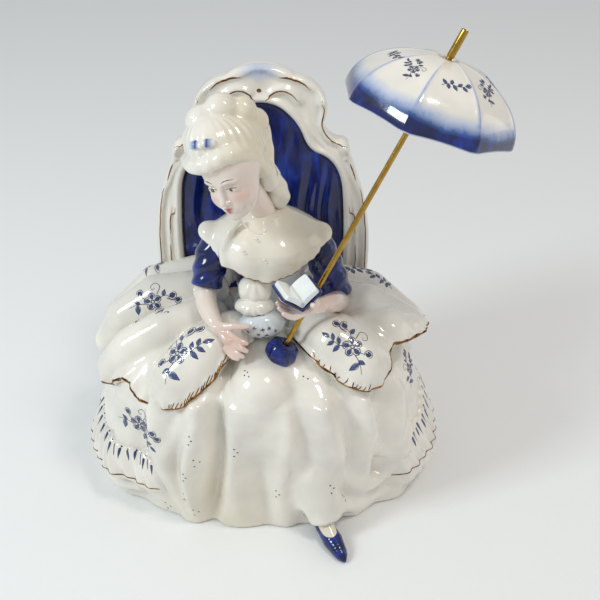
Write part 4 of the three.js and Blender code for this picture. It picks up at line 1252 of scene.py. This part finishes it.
def forearm_left():
    clay = Clay((4, -60, 100), (50, -6, 142), 0.42)
    arm = smooth_path([(39, -14, 111), (37.5, -25, 118), (33.5, -36, 125), (29, -43, 128.5)], 4)
    clay.add(limb(arm, np.linspace(5.9, 3.6, len(arm))), 0)
    clay.add(limb([(29, -43, 128.5), (22, -47.5, 129.5)], [3.6, 4.6], ((0, 0, 1), 0.6)), 2.5)
    fingers = [
        [(22, -44.5, 130), (16, -46, 131), (11.5, -45.5, 134.6)],
        [(21.5, -47, 130), (15, -49.5, 130.8), (10, -49.5, 134.5)],
        [(21.5, -49.5, 130), (15.5, -52.5, 130.6), (10.8, -53, 134.2)],
        [(22, -51, 130.5), (17, -55, 130.6), (12.8, -56.4, 133.4)],
    ]
    add_fingers(clay, fingers, [1.8, 1.75, 1.7, 1.65, 1.55, 1.5, 1.3])
    clay.add(limb([(27, -44, 131), (25.5, -50, 134), (25.8, -54, 136.4)], [2.0, 1.7, 1.3]), 1.6)
    groove = ROD_RADIUS + 0.6
    clay.cut((MOUTH - 4, MOUTH + 60 * ROD_AXIS + 4, lambda p: off_rod(p) - groove), 0.6)
    piece = clay.piece("forearm_left", SKIN, slot="flesh_porcelain")
    x = piece.points[:, 0]
    blush = 0.3 * np.exp(-(((x - 11) / 5) ** 2)) + 0.25 * np.exp(-(((x - 36) / 9) ** 2))
    return piece.paint(blush=blush)


def off_rod(points):
    """Distance from the rod's centre line."""
    away = points - MOUTH.astype(np.float32)
    along = away @ ROD_AXIS.astype(np.float32)
    return np.linalg.norm(away - along[..., None] * ROD_AXIS.astype(np.float32), axis=-1)


# ---------------------------------------------------------------- book
BOOK_SPINE = np.array((0.38, -0.92, 0.0))
BOOK_SPINE = BOOK_SPINE / np.linalg.norm(BOOK_SPINE)
BOOK_UP = np.array((0.0, 0.0, 1.0))
BOOK_ACROSS = np.cross(BOOK_UP, BOOK_SPINE)
BOOK_PLACE = np.array((18.5, -47.5, 132.9))
HALF_OPENING = 50 * RAD  # of the two leaves


def book_leaf(side, start, length, thickness, height, lift, curl):
    """One side of the open book as rings along its spine, with rounded corners and a curled leaf."""
    rings = []
    for s in np.linspace(-1, 1, 15):
        round_off = 1 - 0.05 * abs(s) ** 12
        along = s * height / 2
        ring = []
        steps = np.linspace(0, 1, 14)
        upper = [(start + (length * round_off - start) * t, thickness) for t in steps]
        lower = [(start + (length * round_off - start) * t, 0.0) for t in steps[::-1]]
        for distance, top in upper + lower:
            bend = curl * math.sin(min(distance / length, 1) * math.pi) * (1 if top else 0.35)
            out = distance * math.sin(HALF_OPENING) - (top + bend + lift) * math.cos(HALF_OPENING)
            up = distance * math.cos(HALF_OPENING) + (top + bend + lift) * math.sin(HALF_OPENING)
            ring.append(BOOK_PLACE + side * out * BOOK_ACROSS + up * BOOK_UP + along * BOOK_SPINE)
        rings.append(ring)
    return lofted(rings)


def joined(parts):
    points, faces, offset = [], [], 0
    for p, f in parts:
        f = outward_faces(np.asarray(p), f)
        points.append(p)
        faces += [[i + offset for i in face] for face in f]
        offset += len(p)
    return np.vstack(points), faces


def outward_faces(points, faces):
    """The same faces, turned to look out of their closed mesh."""
    volume = 0.0
    for face in faces:
        a = points[face[0]]
        for b, c in zip(face[1:], face[2:]):
            volume += float(np.dot(a, np.cross(points[b], points[c])))
    return [face[::-1] for face in faces] if volume < 0 else faces


def book():
    boards = [book_leaf(side, 0.0, 13, 1.1, 15, 0.0, 0.0) for side in (-1, 1)]
    cover = Piece("book_cover", *joined(boards), BLUE, slot="cobalt_glaze", replaces=["book_cover"])
    cover.auto_flat(40)
    leaves = [book_leaf(side, 1.4, 12.2, 2.1, 14, 1.25, 0.9) for side in (-1, 1)]
    pages = Piece("book_pages", *joined(leaves), PAPER, replaces=["book_pages"]).auto_flat(40)
    pages.paint()


# ---------------------------------------------------------------- jabot
JABOT = [
    ("jabot_upper", (-1.8, -23.5, 124.5), (8.4, 6.6, 7.6), (-14, 0, 0), 13, 0.28),
    ("jabot_middle", (-2.2, -26.5, 117.0), (9.6, 7.8, 4.8), (-10, 0, 0), 13, 0.28),
    ("jabot_lower", (1.4, -29.6, 108.4), (11.4, 8.6, 7.2), (-18, 0, 0), 19, 0.14),
]


def jabot(name, centre, radii, turn, count, depth):
    centre = np.array(centre)
    clay = Clay(centre - 15, centre + 15, 0.4)
    clay.add(ball(tuple(centre), radii, turn), 0)

    def pleats(points):
        local = (points - centre) @ turned(turn)
        fan = np.arctan2(local[..., 0], 1.2 * radii[2] - local[..., 2])
        return depth * np.cos(count * fan) * np.clip((radii[2] * 0.9 - local[..., 2]) / 6, 0, 1)

    clay.press(pleats)
    # The lowest tier takes the greyer, bluer white: painted shade between the forearms
    piece = clay.piece(name, SHADED_COOL_WHITE if name == "jabot_lower" else WHITE)
    return piece.paint()


# ---------------------------------------------------------------- foot
def shoe():
    clay = Clay((20, -93, -3), (50, -54, 18), 0.4)
    stops = [
        (42.4, -86.6, 1.6), (40.2, -82, 2.6), (36.9, -75.6, 3.8), (33.8, -69.4, 4.6), (31.2, -64.4, 5.0),
    ]
    sole = smooth_path(stops, 4)
    widths = np.interp(np.linspace(0, 1, len(sole)), [0, 0.2, 0.5, 0.8, 1], [1.1, 3.4, 5.1, 4.6, 4.2])
    clay.add(limb(sole, widths), 0)
    clay.keep(lambda p: 0.4 - p[..., 2], 0.6)
    heading = turned((0, 0, 25))
    clay.cut(ball((33.4, -68.6, 9.8), (4.0, 8.6, 4.4), heading), 0.7)
    return clay.piece("shoe", BLUE, slot="cobalt_glaze")


def stocking():
    clay = Clay((18, -84, 2), (46, -52, 30), 0.45)
    instep = [(29, -58, 15), (31.5, -65, 11.5), (34, -70.5, 8.2), (37, -76.5, 5.4)]
    clay.add(limb(instep, [5.2, 4.7, 4.0, 3.2]), 0)
    piece = clay.piece("stocking", WHITE)
    return piece.paint(warmth=0.6)


# ---------------------------------------------------------------- parasol fittings
def socket():
    clay = Clay(MOUTH - 14, MOUTH + 10, 0.36)
    clay.add(ball(tuple(MOUTH - 5.0 * ROD_AXIS), (8.0, 8.0, 8.4), upright_to(ROD_AXIS)), 0)
    clay.press(lambda p: 0.16 * np.cos(8 * np.arctan2(p[..., 1] - MOUTH[1], p[..., 0] - MOUTH[0])))
    along = (clay.points - MOUTH) @ ROD_AXIS
    clay.keep(along.astype(np.float32) - 0.2, 1.2)
    clay.keep(-9.5 - along.astype(np.float32), 2.0)
    hole = np.maximum(off_rod(clay.points) - ROD_RADIUS - 0.45, -SOCKET_DEPTH - along)
    clay.keep(-hole.astype(np.float32), 0.5)
    return clay.piece("parasol_socket", BLUE, slot="cobalt_glaze")


def rod_part(name, profile):
    """A turned brass part: a closed profile of (radius, distance along the rod)."""
    turn = upright_to(ROD_AXIS)
    angles = np.linspace(0, 2 * math.pi, 36, endpoint=False)
    rings = []
    for radius, along in profile:
        local = [radius * np.cos(angles), radius * np.sin(angles), np.full(len(angles), along)]
        rings.append(MOUTH + np.stack(local, -1) @ turn.T)
    points, faces = lofted(rings, capped=False)
    faces = outward_faces(points, faces)
    piece = Piece(name, points, faces, BRASS, body="parasol_stem", slot="brass", replaces=[name])
    piece.auto_flat(35)


def rod_parts():
    shaft = [(0.1, -8.1), (1.1, -8.1), (ROD_RADIUS, -7.8)]
    shaft += [(ROD_RADIUS + 0.02 * math.sin(k * 1.7), k) for k in range(-6, 162, 6)]
    rod_part("parasol_rod", shaft + [(ROD_RADIUS, 162.6), (1.1, 162.9), (0.1, 162.9)])
    tube = [
        (1.46, 155.5), (1.62, 155.4), (1.7, 155.8), (1.7, 167.2),
        (1.66, 167.8), (1.46, 167.9), (1.42, 167.6), (1.42, 156),
    ]
    rod_part("parasol_ferrule", tube)
    stop = [
        (1.46, 146.8), (2.4, 146.6), (2.7, 147.2), (2.3, 148.2), (2.5, 149.4),
        (3.3, 150.4), (3.5, 151.2), (3.3, 151.6), (1.46, 151.6),
    ]
    rod_part("parasol_collar", stop)


# ---------------------------------------------------------------- painted decoration
SECTION = [(-1.0, -0.4), (-0.6, 0.7), (0.0, 1.0), (0.6, 0.7), (1.0, -0.4), (0.0, -1.4)]


class Brushwork:
    """Closed, slightly raised strokes laid on a surface."""

    def __init__(self, target):
        self.tree = target.tree
        self.parts = []
        self.tones = []

    def nearest(self, point):
        place, normal, _, _ = self.tree.find_nearest(Vector(point))
        return np.array(place), np.array(normal)

    def stroke(self, path, widths, shade=1.0, height=0.12):
        """A stroke along points near the surface. widths are half widths, spread evenly along it."""
        path = np.asarray(path, float)
        found = [self.nearest(p) for p in path]
        centres = np.array([place for place, _ in found])
        normals = np.array([normal for _, normal in found])
        tangents = np.gradient(centres, axis=0)
        widths = np.interp(np.linspace(0, 1, len(path)), np.linspace(0, 1, len(widths)), widths)
        rings = []
        for centre, normal, tangent, width in zip(centres, normals, tangents, widths):
            side = np.cross(normal, tangent)
            length = np.linalg.norm(side)
            if length < 1e-6:
                continue
            side = side / length
            ring = []
            for across, lift in SECTION:
                place, local = self.nearest(centre + side * width * across)
                if np.dot(local, normal) < 0.3:
                    place, local = centre + side * width * across, normal
                ring.append(place + local * height * lift)
            rings.append(ring)
        if len(rings) > 2:
            self.parts.append(lofted(rings))
            self.tones.append(shade)

    def dot(self, point, radius, shade=1.0, height=0.14):
        place, normal = self.nearest(point)
        axis = np.cross(normal, (0.3, 0.2, 0.9))
        axis = axis / np.linalg.norm(axis)
        steps = np.linspace(-1, 1, 7)
        path = [place + axis * radius * s for s in steps]
        self.stroke(path, [radius * math.sqrt(max(0.02, 1 - s * s)) for s in steps], shade, height)

    def piece(self, name, material, body="figurine", slot="cobalt_glaze"):
        points, faces = joined(self.parts)
        made = Piece(name, points, faces, material, body=body, slot=slot)
        shades = np.concatenate([np.full(len(p), s) for (p, _), s in zip(self.parts, self.tones)])
        return made.paint(cobalt=shades)


def heading_way(degrees):
    """The flat direction of a heading."""
    return np.array((math.cos(degrees * RAD), math.sin(degrees * RAD)))


def arc(centre, radius, start, end, steps=9):
    angles = np.radians(np.linspace(start, end, steps))
    return np.stack([centre[0] + radius * np.cos(angles), centre[1] + radius * np.sin(angles)], -1)


def leaf_strokes(base, tip, width, shade=0.45):
    """A leaf or petal: a wash, a darker outline down each side and a midrib."""
    base, tip = np.array(base, float), np.array(tip, float)
    way = tip - base
    side = np.array((-way[1], way[0])) / (np.linalg.norm(way) + 1e-9)
    t = np.linspace(0, 1, 8)[:, None]
    belly = np.sin(np.pi * t**0.85)
    spine = base + way * t
    strokes = [(spine, [0.1, 0.75 * width, width, 0.85 * width, 0.1], shade, 0.07)]
    for sign in (-1, 1):
        strokes.append((spine + sign * side * width * belly, [0.13, 0.24, 0.2, 0.1], 1.0, 0.13))
    strokes.append((base + way * (0.1 + 0.7 * t), [0.16, 0.12, 0.06], 0.9, 0.13))
    return strokes


def rosette_strokes(centre, radius):
    """A flower of five washed and outlined petals, with rays from its ringed middle."""
    centre = np.array(centre, float)
    strokes = []
    for k in range(5):
        angle = 90 + 72 * k
        tip = centre + radius * heading_way(angle)
        inner = centre + 0.3 * (tip - centre)
        middle = centre + 0.66 * (tip - centre)
        wash = inner + (tip - inner) * np.linspace(0, 1, 6)[:, None]
        strokes.append((wash, [0.5, 1.5, 1.9, 0.6], 0.55, 0.07))
        outline = arc(middle, radius * 0.42, angle - 125, angle + 125, 12)
        strokes.append((outline, [0.14, 0.3, 0.32, 0.3, 0.14], 1.0, 0.14))
        for turn in (-16, 16):
            ray = heading_way(angle + turn) * np.linspace(0.3, 0.72, 5)[:, None]
            strokes.append((centre + ray * radius, [0.2, 0.1], 0.95, 0.13))
    strokes.append((arc(centre, radius * 0.2, 0, 350, 12), [0.4, 0.4], 1.0, 0.15))
    return strokes


def bud_strokes(centre, radius, heading):
    """A round bud, open towards its heading."""
    centre = np.array(centre, float)
    way = heading_way(heading)
    wash = centre + way * np.linspace(-1, 1, 6)[:, None] * radius * 0.8
    strokes = [(wash, [0.4, radius * 0.85, radius * 0.8, 0.3], 0.65, 0.08)]
    outline = arc(centre, radius, heading + 150, heading + 420, 14)
    strokes.append((outline, [0.14, 0.3, 0.3, 0.14], 1.0, 0.14))
    for turn in (-30, 0, 30):
        ray = heading_way(heading + turn) * np.linspace(0.1, 1.4, 5)[:, None]
        strokes.append((centre - way * radius * 0.7 + ray * radius, [0.22, 0.1], 0.95, 0.13))
    return strokes


def sprig_strokes():
    """A rosette with buds, a leafy spray, a stem with a leaf and a curled tendril, about 30 mm tall."""
    strokes = rosette_strokes((0, 0), 5.2)
    strokes += bud_strokes((3.0, 12.6), 2.7, 80) + bud_strokes((7.2, 14.2), 2.2, 60)
    strokes += bud_strokes((-8.6, -5.0), 2.3, 200)
    stems = [
        [(0.5, 4.5), (0.2, 7.5), (1.8, 10.2)],
        [(2.5, 8.6), (5.0, 10.4), (6.2, 12.2)],
        [(4.6, 0.5), (8.5, 2.4), (13.0, 7.4)],
        [(-1.0, -4.6), (-3.4, -9.5), (-4.2, -15.5)],
        [(-3.6, -3.4), (-5.4, -4.4), (-6.6, -4.6)],
        [(-2.6, 4.6), (-5.8, 8.4), (-9.2, 7.0), (-9.0, 3.6), (-6.6, 3.4), (-6.8, 5.2)],
    ]
    for stem in stems:
        strokes.append((smooth_path(stem, 4), [0.3, 0.24, 0.14], 1.0, 0.13))
    for base, tip, width in [
        ((7.0, 1.6), (11.0, -1.8), 1.2),
        ((7.2, 2.0), (7.4, 6.4), 1.1),
        ((9.8, 3.8), (14.0, 2.2), 1.1),
        ((10.2, 4.4), (10.4, 8.8), 1.0),
        ((12.2, 6.4), (15.8, 9.8), 1.1),
        ((-3.4, -9.5), (2.6, -12.6), 1.6),
        ((-2.6, -8.0), (-6.4, -10.4), 1.1),
        ((0.4, 7.4), (-2.8, 10.4), 1.2),
    ]:
        strokes += leaf_strokes(base, tip, width)
    return strokes


def spray_strokes():
    """A short leafy twig with one bud, for narrow places."""
    strokes = [(smooth_path([(-7, -2), (-2, 0.5), (3, 0), (8, 2)], 4), [0.26, 0.22, 0.12], 1.0, 0.13)]
    leaves = [
        ((-4, -0.6), (-6.4, 3)), ((-1, 0.5), (-0.6, 4.4)), ((0, 0.5), (2.6, -3.6)),
        ((3, 0), (5.6, 3.4)), ((-3, 0), (-2.6, -3.8)), ((6, 1), (9, -1.8)),
    ]
    for base, tip in leaves:
        strokes += leaf_strokes(base, tip, 1.1)
    return strokes + bud_strokes((9.2, 3.4), 1.8, 40)


def lay(brush, design, place, up, size=1.0, mirrored=False, tilt=0.0, seen=None):
    """Lays a flat design on the surface at a place, with its top towards a direction.

    seen is the direction that the place is found from; without it, the nearest surface is used."""
    if seen is not None:
        start = Vector(place) + 70 * Vector(seen)
        hit, _, _, _ = brush.tree.ray_cast(start, -Vector(seen).normalized(), 160)
        place = hit if hit is not None else place
    centre, normal = brush.nearest(place)
    normals = [normal]
    across = np.cross(up, normal)
    across = across / np.linalg.norm(across)
    for dx, dy in ((4, 0), (-4, 0), (0, 4), (0, -4)):
        _, around = brush.nearest(centre + dx * size * across + dy * size * np.array(up, float))
        normals.append(around)
    normal = np.mean(normals, 0)
    normal = normal / np.linalg.norm(normal)
    right = np.cross(up, normal)
    right = right / np.linalg.norm(right)
    top = np.cross(normal, right)
    cos, sin = math.cos(tilt * RAD), math.sin(tilt * RAD)
    for path, widths, shade, height in design:
        made = []
        for x, y in np.asarray(path):
            x, y = (x * cos - y * sin) * size, (x * sin + y * cos) * size
            x = -x if mirrored else x
            start = centre + right * x + top * y + normal * 12
            hit, _, _, _ = brush.tree.ray_cast(Vector(start), Vector(-normal), 40)
            if hit is not None:
                made.append(np.array(hit))
        if len(made) > 2:
            brush.stroke(made, [w * size for w in widths], shade, height)


def ripple(value, seed):
    """A smooth, repeatable wobble between about -1 and 1."""
    fine = math.sin(5.1 * value + 2.7 * seed) * 0.6
    return 0.5 * (math.sin(2.3 * value + seed) + fine + math.sin(0.9 * value - seed) * 0.4)


def edge_points(target, headings, lift=0.3, centre=(0.0, 0.0), height=edge_height):
    """Points on a surface along its wavy edge, found from outside at each heading."""
    made = []
    for heading in headings:
        z = float(height(np.array([heading]))[0]) + lift
        way = np.array((math.cos(heading * RAD), math.sin(heading * RAD), 0))
        origin = np.array((*centre, z)) + 130 * way
        hit, _, _, _ = target.tree.ray_cast(Vector(origin), Vector(-way), 140)
        if hit is not None:
            made.append(np.array(hit))
    return made


def gilt_edge(brush, points, width, seed):
    """A gilt line broken into touches of changing width, as a worn edge has."""
    size = 14
    for first in range(0, len(points) - 3, size - 2):
        part = points[first : first + size]
        if len(part) > 3:
            widths = [max(0.12, width * (0.8 + 0.7 * ripple(first + k * 1.3, seed))) for k in range(6)]
            brush.stroke(part, widths, 1.0, 0.28)


def overskirt_decoration():
    right, left = overskirts["overskirt_right"], overskirts["overskirt_left"]
    for name, target, first, last, seed in (
        ("gilt_edge_right", right, 132, 259, 1.0),
        ("gilt_edge_left", left, -66, 48, 2.0),
    ):
        brush = Brushwork(target)
        gilt_edge(brush, edge_points(target, np.arange(first, last, 0.45), 1.7), 1.05, seed)
        if target is right:
            hatch = np.arange(-128, -106, 1.15)
        else:
            hatch = np.arange(-66, -45, 1.3)
        for k, heading in enumerate(hatch):
            low = 2.2 + 0.5 * ripple(k, 3)
            reach = low + 3.2 + 0.9 * ripple(k, 1)
            path = [
                p
                for lift in np.linspace(low, reach, 5)
                for p in edge_points(target, [heading + 0.25 * (lift - low)], lift)
            ]
            if len(path) > 3:
                brush.stroke(path, [0.15, 0.42, 0.36, 0.12], 1.0, 0.2)
        brush.piece(name, GOLD, slot="gilding")
    brush = Brushwork(right)
    lay(brush, sprig_strokes(), (-39, -31, 92), (0.2, 0.82, 0.53), 0.98, seen=FRONT)
    lay(brush, sprig_strokes(), (-55, -5, 104), (0.75, 0.6, 0.2), 0.8, seen=FRONT)
    lay(brush, spray_strokes()[:13], (-62, -12, 97), (0.5, 0.7, 0.4), 0.45, seen=FRONT)
    lay(brush, sprig_strokes(), (-58, 32, 100), (0.5, -0.6, 0.6), 0.7, seen=BEHIND)
    brush.piece("sprigs_right", LINE)
    brush = Brushwork(left)
    lay(brush, sprig_strokes(), (45, -38, 101), (-0.1, 0.85, 0.5), 0.86, mirrored=True, seen=FRONT)
    lay(brush, spray_strokes(), (50, 25, 104), (-0.2, 0.9, 0.3), 0.95, seen=FRONT)
    lay(brush, spray_strokes(), (64, 20, 100), (0.2, 0.9, 0.3), 0.85, mirrored=True, seen=FRONT)
    lay(brush, sprig_strokes(), (58, 34, 98), (-0.5, -0.6, 0.6), 0.7, seen=BEHIND)
    brush.piece("sprigs_left", LINE)


DOT_PLACES = [
    (-118, 66), (-116, 50), (-121, 40), (-124, 22), (-119, 12),
    (-133, 8), (-100, 60), (-84, 30), (-62, 34), (-56, 20),
]


def skirt_decoration():
    brush = Brushwork(underskirt_piece)
    lay(brush, sprig_strokes(), skirt_point(-142, 58), (0.1, 0.25, 0.9), 0.86, tilt=-70)
    lay(brush, sprig_strokes(), skirt_point(-14, 72), (0, 0.2, 1), 0.6)
    for heading, height in DOT_PLACES:
        for k in range(3):
            brush.dot(skirt_point(heading + 1.6 * (k % 2), height - 2.4 * k), 0.5, 0.9)
    for heading in (60, 120, 142, 90):
        lay(brush, spray_strokes(), skirt_point(heading, 22), (0, 0, 1), 0.8)
    brush.piece("sprigs_underskirt", LINE)
    brush = Brushwork(lap_piece)
    for x, y in ((-7, -50), (-5.5, -51.5), (-7.5, -53), (-5, -54.5), (22, -52), (24, -53)):
        brush.dot((x, y, 96), 0.45, 0.9)
    brush.piece("dots_lap", LINE)


def level(heading):
    """A height for edge_points that leaves all of it to the lift."""
    return np.zeros(1)


def flounce_decoration():
    for name, headings, top, bottom in (
        ("flounce_right", np.arange(-196, -133, 2.33), lambda h: 40.5 - 0.03 * (h + 200), 21.5),
        ("flounce_left", np.arange(-34, 18, 2.33), lambda h: 37.5 + 0.12 * (h + 37), 20.5),
    ):
        target = flounces[name]
        brush = Brushwork(target)
        for k, heading in enumerate(headings):
            start = top(heading)
            reach = 6.5 + 1.6 * ripple(k, 4)
            path = [
                p
                for z in np.linspace(start, start - reach, 6)
                for p in edge_points(target, [heading + 0.1 * (start - z)], z, height=level)
            ]
            if len(path) > 3:
                brush.stroke(path, [0.85, 1.05, 0.7, 0.15], 0.8 + 0.2 * ripple(k, 2), 0.14)
        if brush.parts:
            brush.piece(name + "_strokes", LINE)
        gilt = Brushwork(target)
        sweep = np.arange(headings[0] - 1, headings[-1] + 1, 0.5)
        gilt_edge(gilt, edge_points(target, sweep, bottom + 0.6, height=level), 0.4, 3.0)
        if gilt.parts:
            gilt.piece(name + "_gilt", GOLD, slot="gilding")


def chair_decoration():
    brush = Brushwork(frame_piece)

    def on_chair(path):
        flat = smooth_path(path, 5)
        return leaned(np.stack([flat[:, 0], flat[:, 1], np.full(len(flat), -2.0)], -1))

    for side in (-1, 1):
        for path, width in [
            ([(9, 147.6), (14.5, 148), (20, 146), (24.7, 141.8)], 0.75),
            ([(2.6, 137.4), (6.5, 140.7), (10.5, 141.6), (15, 139.8), (18.5, 136.5)], 0.65),
            ([(31.4, 138.5), (32.3, 131.3), (32, 125), (35, 119.4), (40.6, 114.4), (44, 113)], 0.5),
            ([(46, 104), (48.6, 100), (50, 95)], 0.5),
            ([(52.3, 91), (54.6, 78), (55.8, 60), (55.4, 40), (52, 18)], 0.4),
            ([(47, 80), (48.4, 72), (49, 64)], 0.4),
            ([(49.5, 58), (50.2, 50), (50, 44)], 0.4),
        ]:
            placed = on_chair([(side * x, y) for x, y in path])
            brush.stroke(placed, [0.12, width, width, 0.8 * width, 0.1], 1.0, 0.2)
    brush.dot(leaned(np.array((-0.5, 142, -2.0))), 1.2, 1.0, 0.3)
    brush.piece("chair_gilt_lines", GOLD, slot="gilding")


def cape_decoration():
    brush = Brushwork(cape_piece)
    headings = np.arange(-150, -50, 1.0)
    points = edge_points(cape_piece, headings, 0.5, CAPE_CENTRE, cape_edge)
    gilt_edge(brush, points, 0.3, 5.0)
    brush.dot((-2.5, -30, 131), 0.9, 1.0)
    brush.piece("cape_gilt_edge", GOLD, slot="gilding")
    trim = Brushwork(cape_piece)
    neckline = [(-8, -18, 160), (-4, -20, 157), (1.6, -21.5, 154.5), (6, -18, 157), (9.5, -13, 159)]
    trim.stroke(smooth_path(neckline, 6), [0.2, 0.42, 0.5, 0.42, 0.2], 0.0, 0.5)
    for place in (
        (-0.5, -23, 152), (0.4, -23, 150.4), (-6, -26, 147.6),
        (-5.2, -26, 146.4), (3.4, -27, 144.6), (4.4, -27, 143.4),
    ):
        trim.dot(place, 0.65, 0.0, 0.8)
    trim.piece("cape_beads", WHITE, slot="white_porcelain")


def jabot_decoration():
    for name, marks in (
        ("jabot_upper", [(-4, -30, 118.6), (-1, -30.5, 118.2), (2, -30, 118.6)]),
        ("jabot_middle", [(-3, -34, 114.6), (0, -34.5, 114.2), (3, -34, 114.5)]),
        ("jabot_lower", [
            (-2, -37, 111), (2, -37.6, 110.4), (5, -37, 110.8), (0, -37.6, 107.4),
            (4, -37.8, 106.6), (8, -36, 109), (-5, -36, 108.4), (2.4, -37.8, 104.4),
        ]),
    ):
        brush = Brushwork(jabots[name])
        for k, (x, y, z) in enumerate(marks):
            for turn in (0, 70, 140):
                way = np.array((math.cos((turn + 25 * k) * RAD), 0, math.sin((turn + 25 * k) * RAD)))
                centre = np.array((x, y, z))
                path = [centre + way * s for s in np.linspace(-1.1, 1.1, 6)]
                brush.stroke(path, [0.1, 0.3, 0.1], 1.0, 0.2)
        brush.piece(name + "_lace", GOLD, slot="gilding")


def face_decoration():
    brush = Brushwork(head_piece)
    for side in (-1, 1):
        brow = [(side * 2.0, -13.6, 3.6), (side * 4.6, -13.6, 4.9), (side * 7.4, -11.6, 4.0)]
        lash = [(side * 2.2, -12.6, -0.1), (side * 4.6, -13.2, 0.8), (side * 7.2, -11.4, 0.0)]
        for path, widths, shade, height in (
            (brow, [0.12, 0.3, 0.26, 0.08], 0.8, 0.06),
            (lash, [0.1, 0.34, 0.36, 0.14], 1.0, 0.08),
        ):
            brush.stroke([on_head(*p) for p in smooth_path(path, 4)], widths, shade, height)
        brush.dot(on_head(side * 4.5, -13.0, -0.35), 0.95, 1.0, 0.06)
        # A tiny pale dot in each eye: a painted highlight
        brush.dot(on_head(side * 4.3, -13.4, -0.1), 0.2, 0.0, 0.16)
    brush.piece("brows_and_eyes", BROWN, slot="flesh_porcelain")


def canopy_decoration():
    brush = Brushwork(canopy_piece)
    for k in range(GORES):
        angle = (k + 0.5) * GORE
        place = dome_points(0.42, np.array([angle]), CANOPY_RADIUS, CANOPY_HEIGHT, 0.0)[0]
        outward_way = DOME @ np.array((math.cos(angle), math.sin(angle), 0))
        design = sprig_strokes() if k % 2 == 0 else spray_strokes()
        lay(brush, design, place, tuple(-outward_way), 0.44 if k % 2 == 0 else 0.7, mirrored=k % 4 == 0)
    brush.piece("parasol_sprigs", LINE, body="parasol_top")


# ---------------------------------------------------------------- build
underskirt_piece = underskirt()
lap_piece = lap()
overskirts = {
    "overskirt_right": overskirt("overskirt_right", -1),
    "overskirt_left": overskirt("overskirt_left", 1),
}
flounces = {
    "flounce_right": flounce("flounce_right", -200, -130, 21, 41, -2.2, 1.35),
    "flounce_left": flounce("flounce_left", 22, -37, 20, 46, -7.0, 1.35),
}
frame_piece = chair_frame()
chair_panel()
chair_base()
canopy_piece = canopy()
bodice()
cape_piece = cape()
head_piece = head()
hair_piece = hair()
ringlet()
hair_bow()
sleeve("sleeve_right", [(-19, -5, 142), (-23.5, -9, 133), (-26, -14, 122)], [8.0, 8.6, 8.2, 7.6], 2.0)
sleeve("sleeve_left", [(27, -3, 141), (33, -7, 128), (37.5, -12, 115)], [8.0, 8.4, 8.6, 8.4], 2.5)
forearm_right()
forearm_left()
book()
jabots = {entry[0]: jabot(*entry) for entry in JABOT}
shoe()
stocking()
socket()
rod_parts()
overskirt_decoration()
skirt_decoration()
flounce_decoration()
chair_decoration()
cape_decoration()
jabot_decoration()
face_decoration()
canopy_decoration()
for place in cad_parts["foot_plate"].material_slots:
    place.material = FOOT
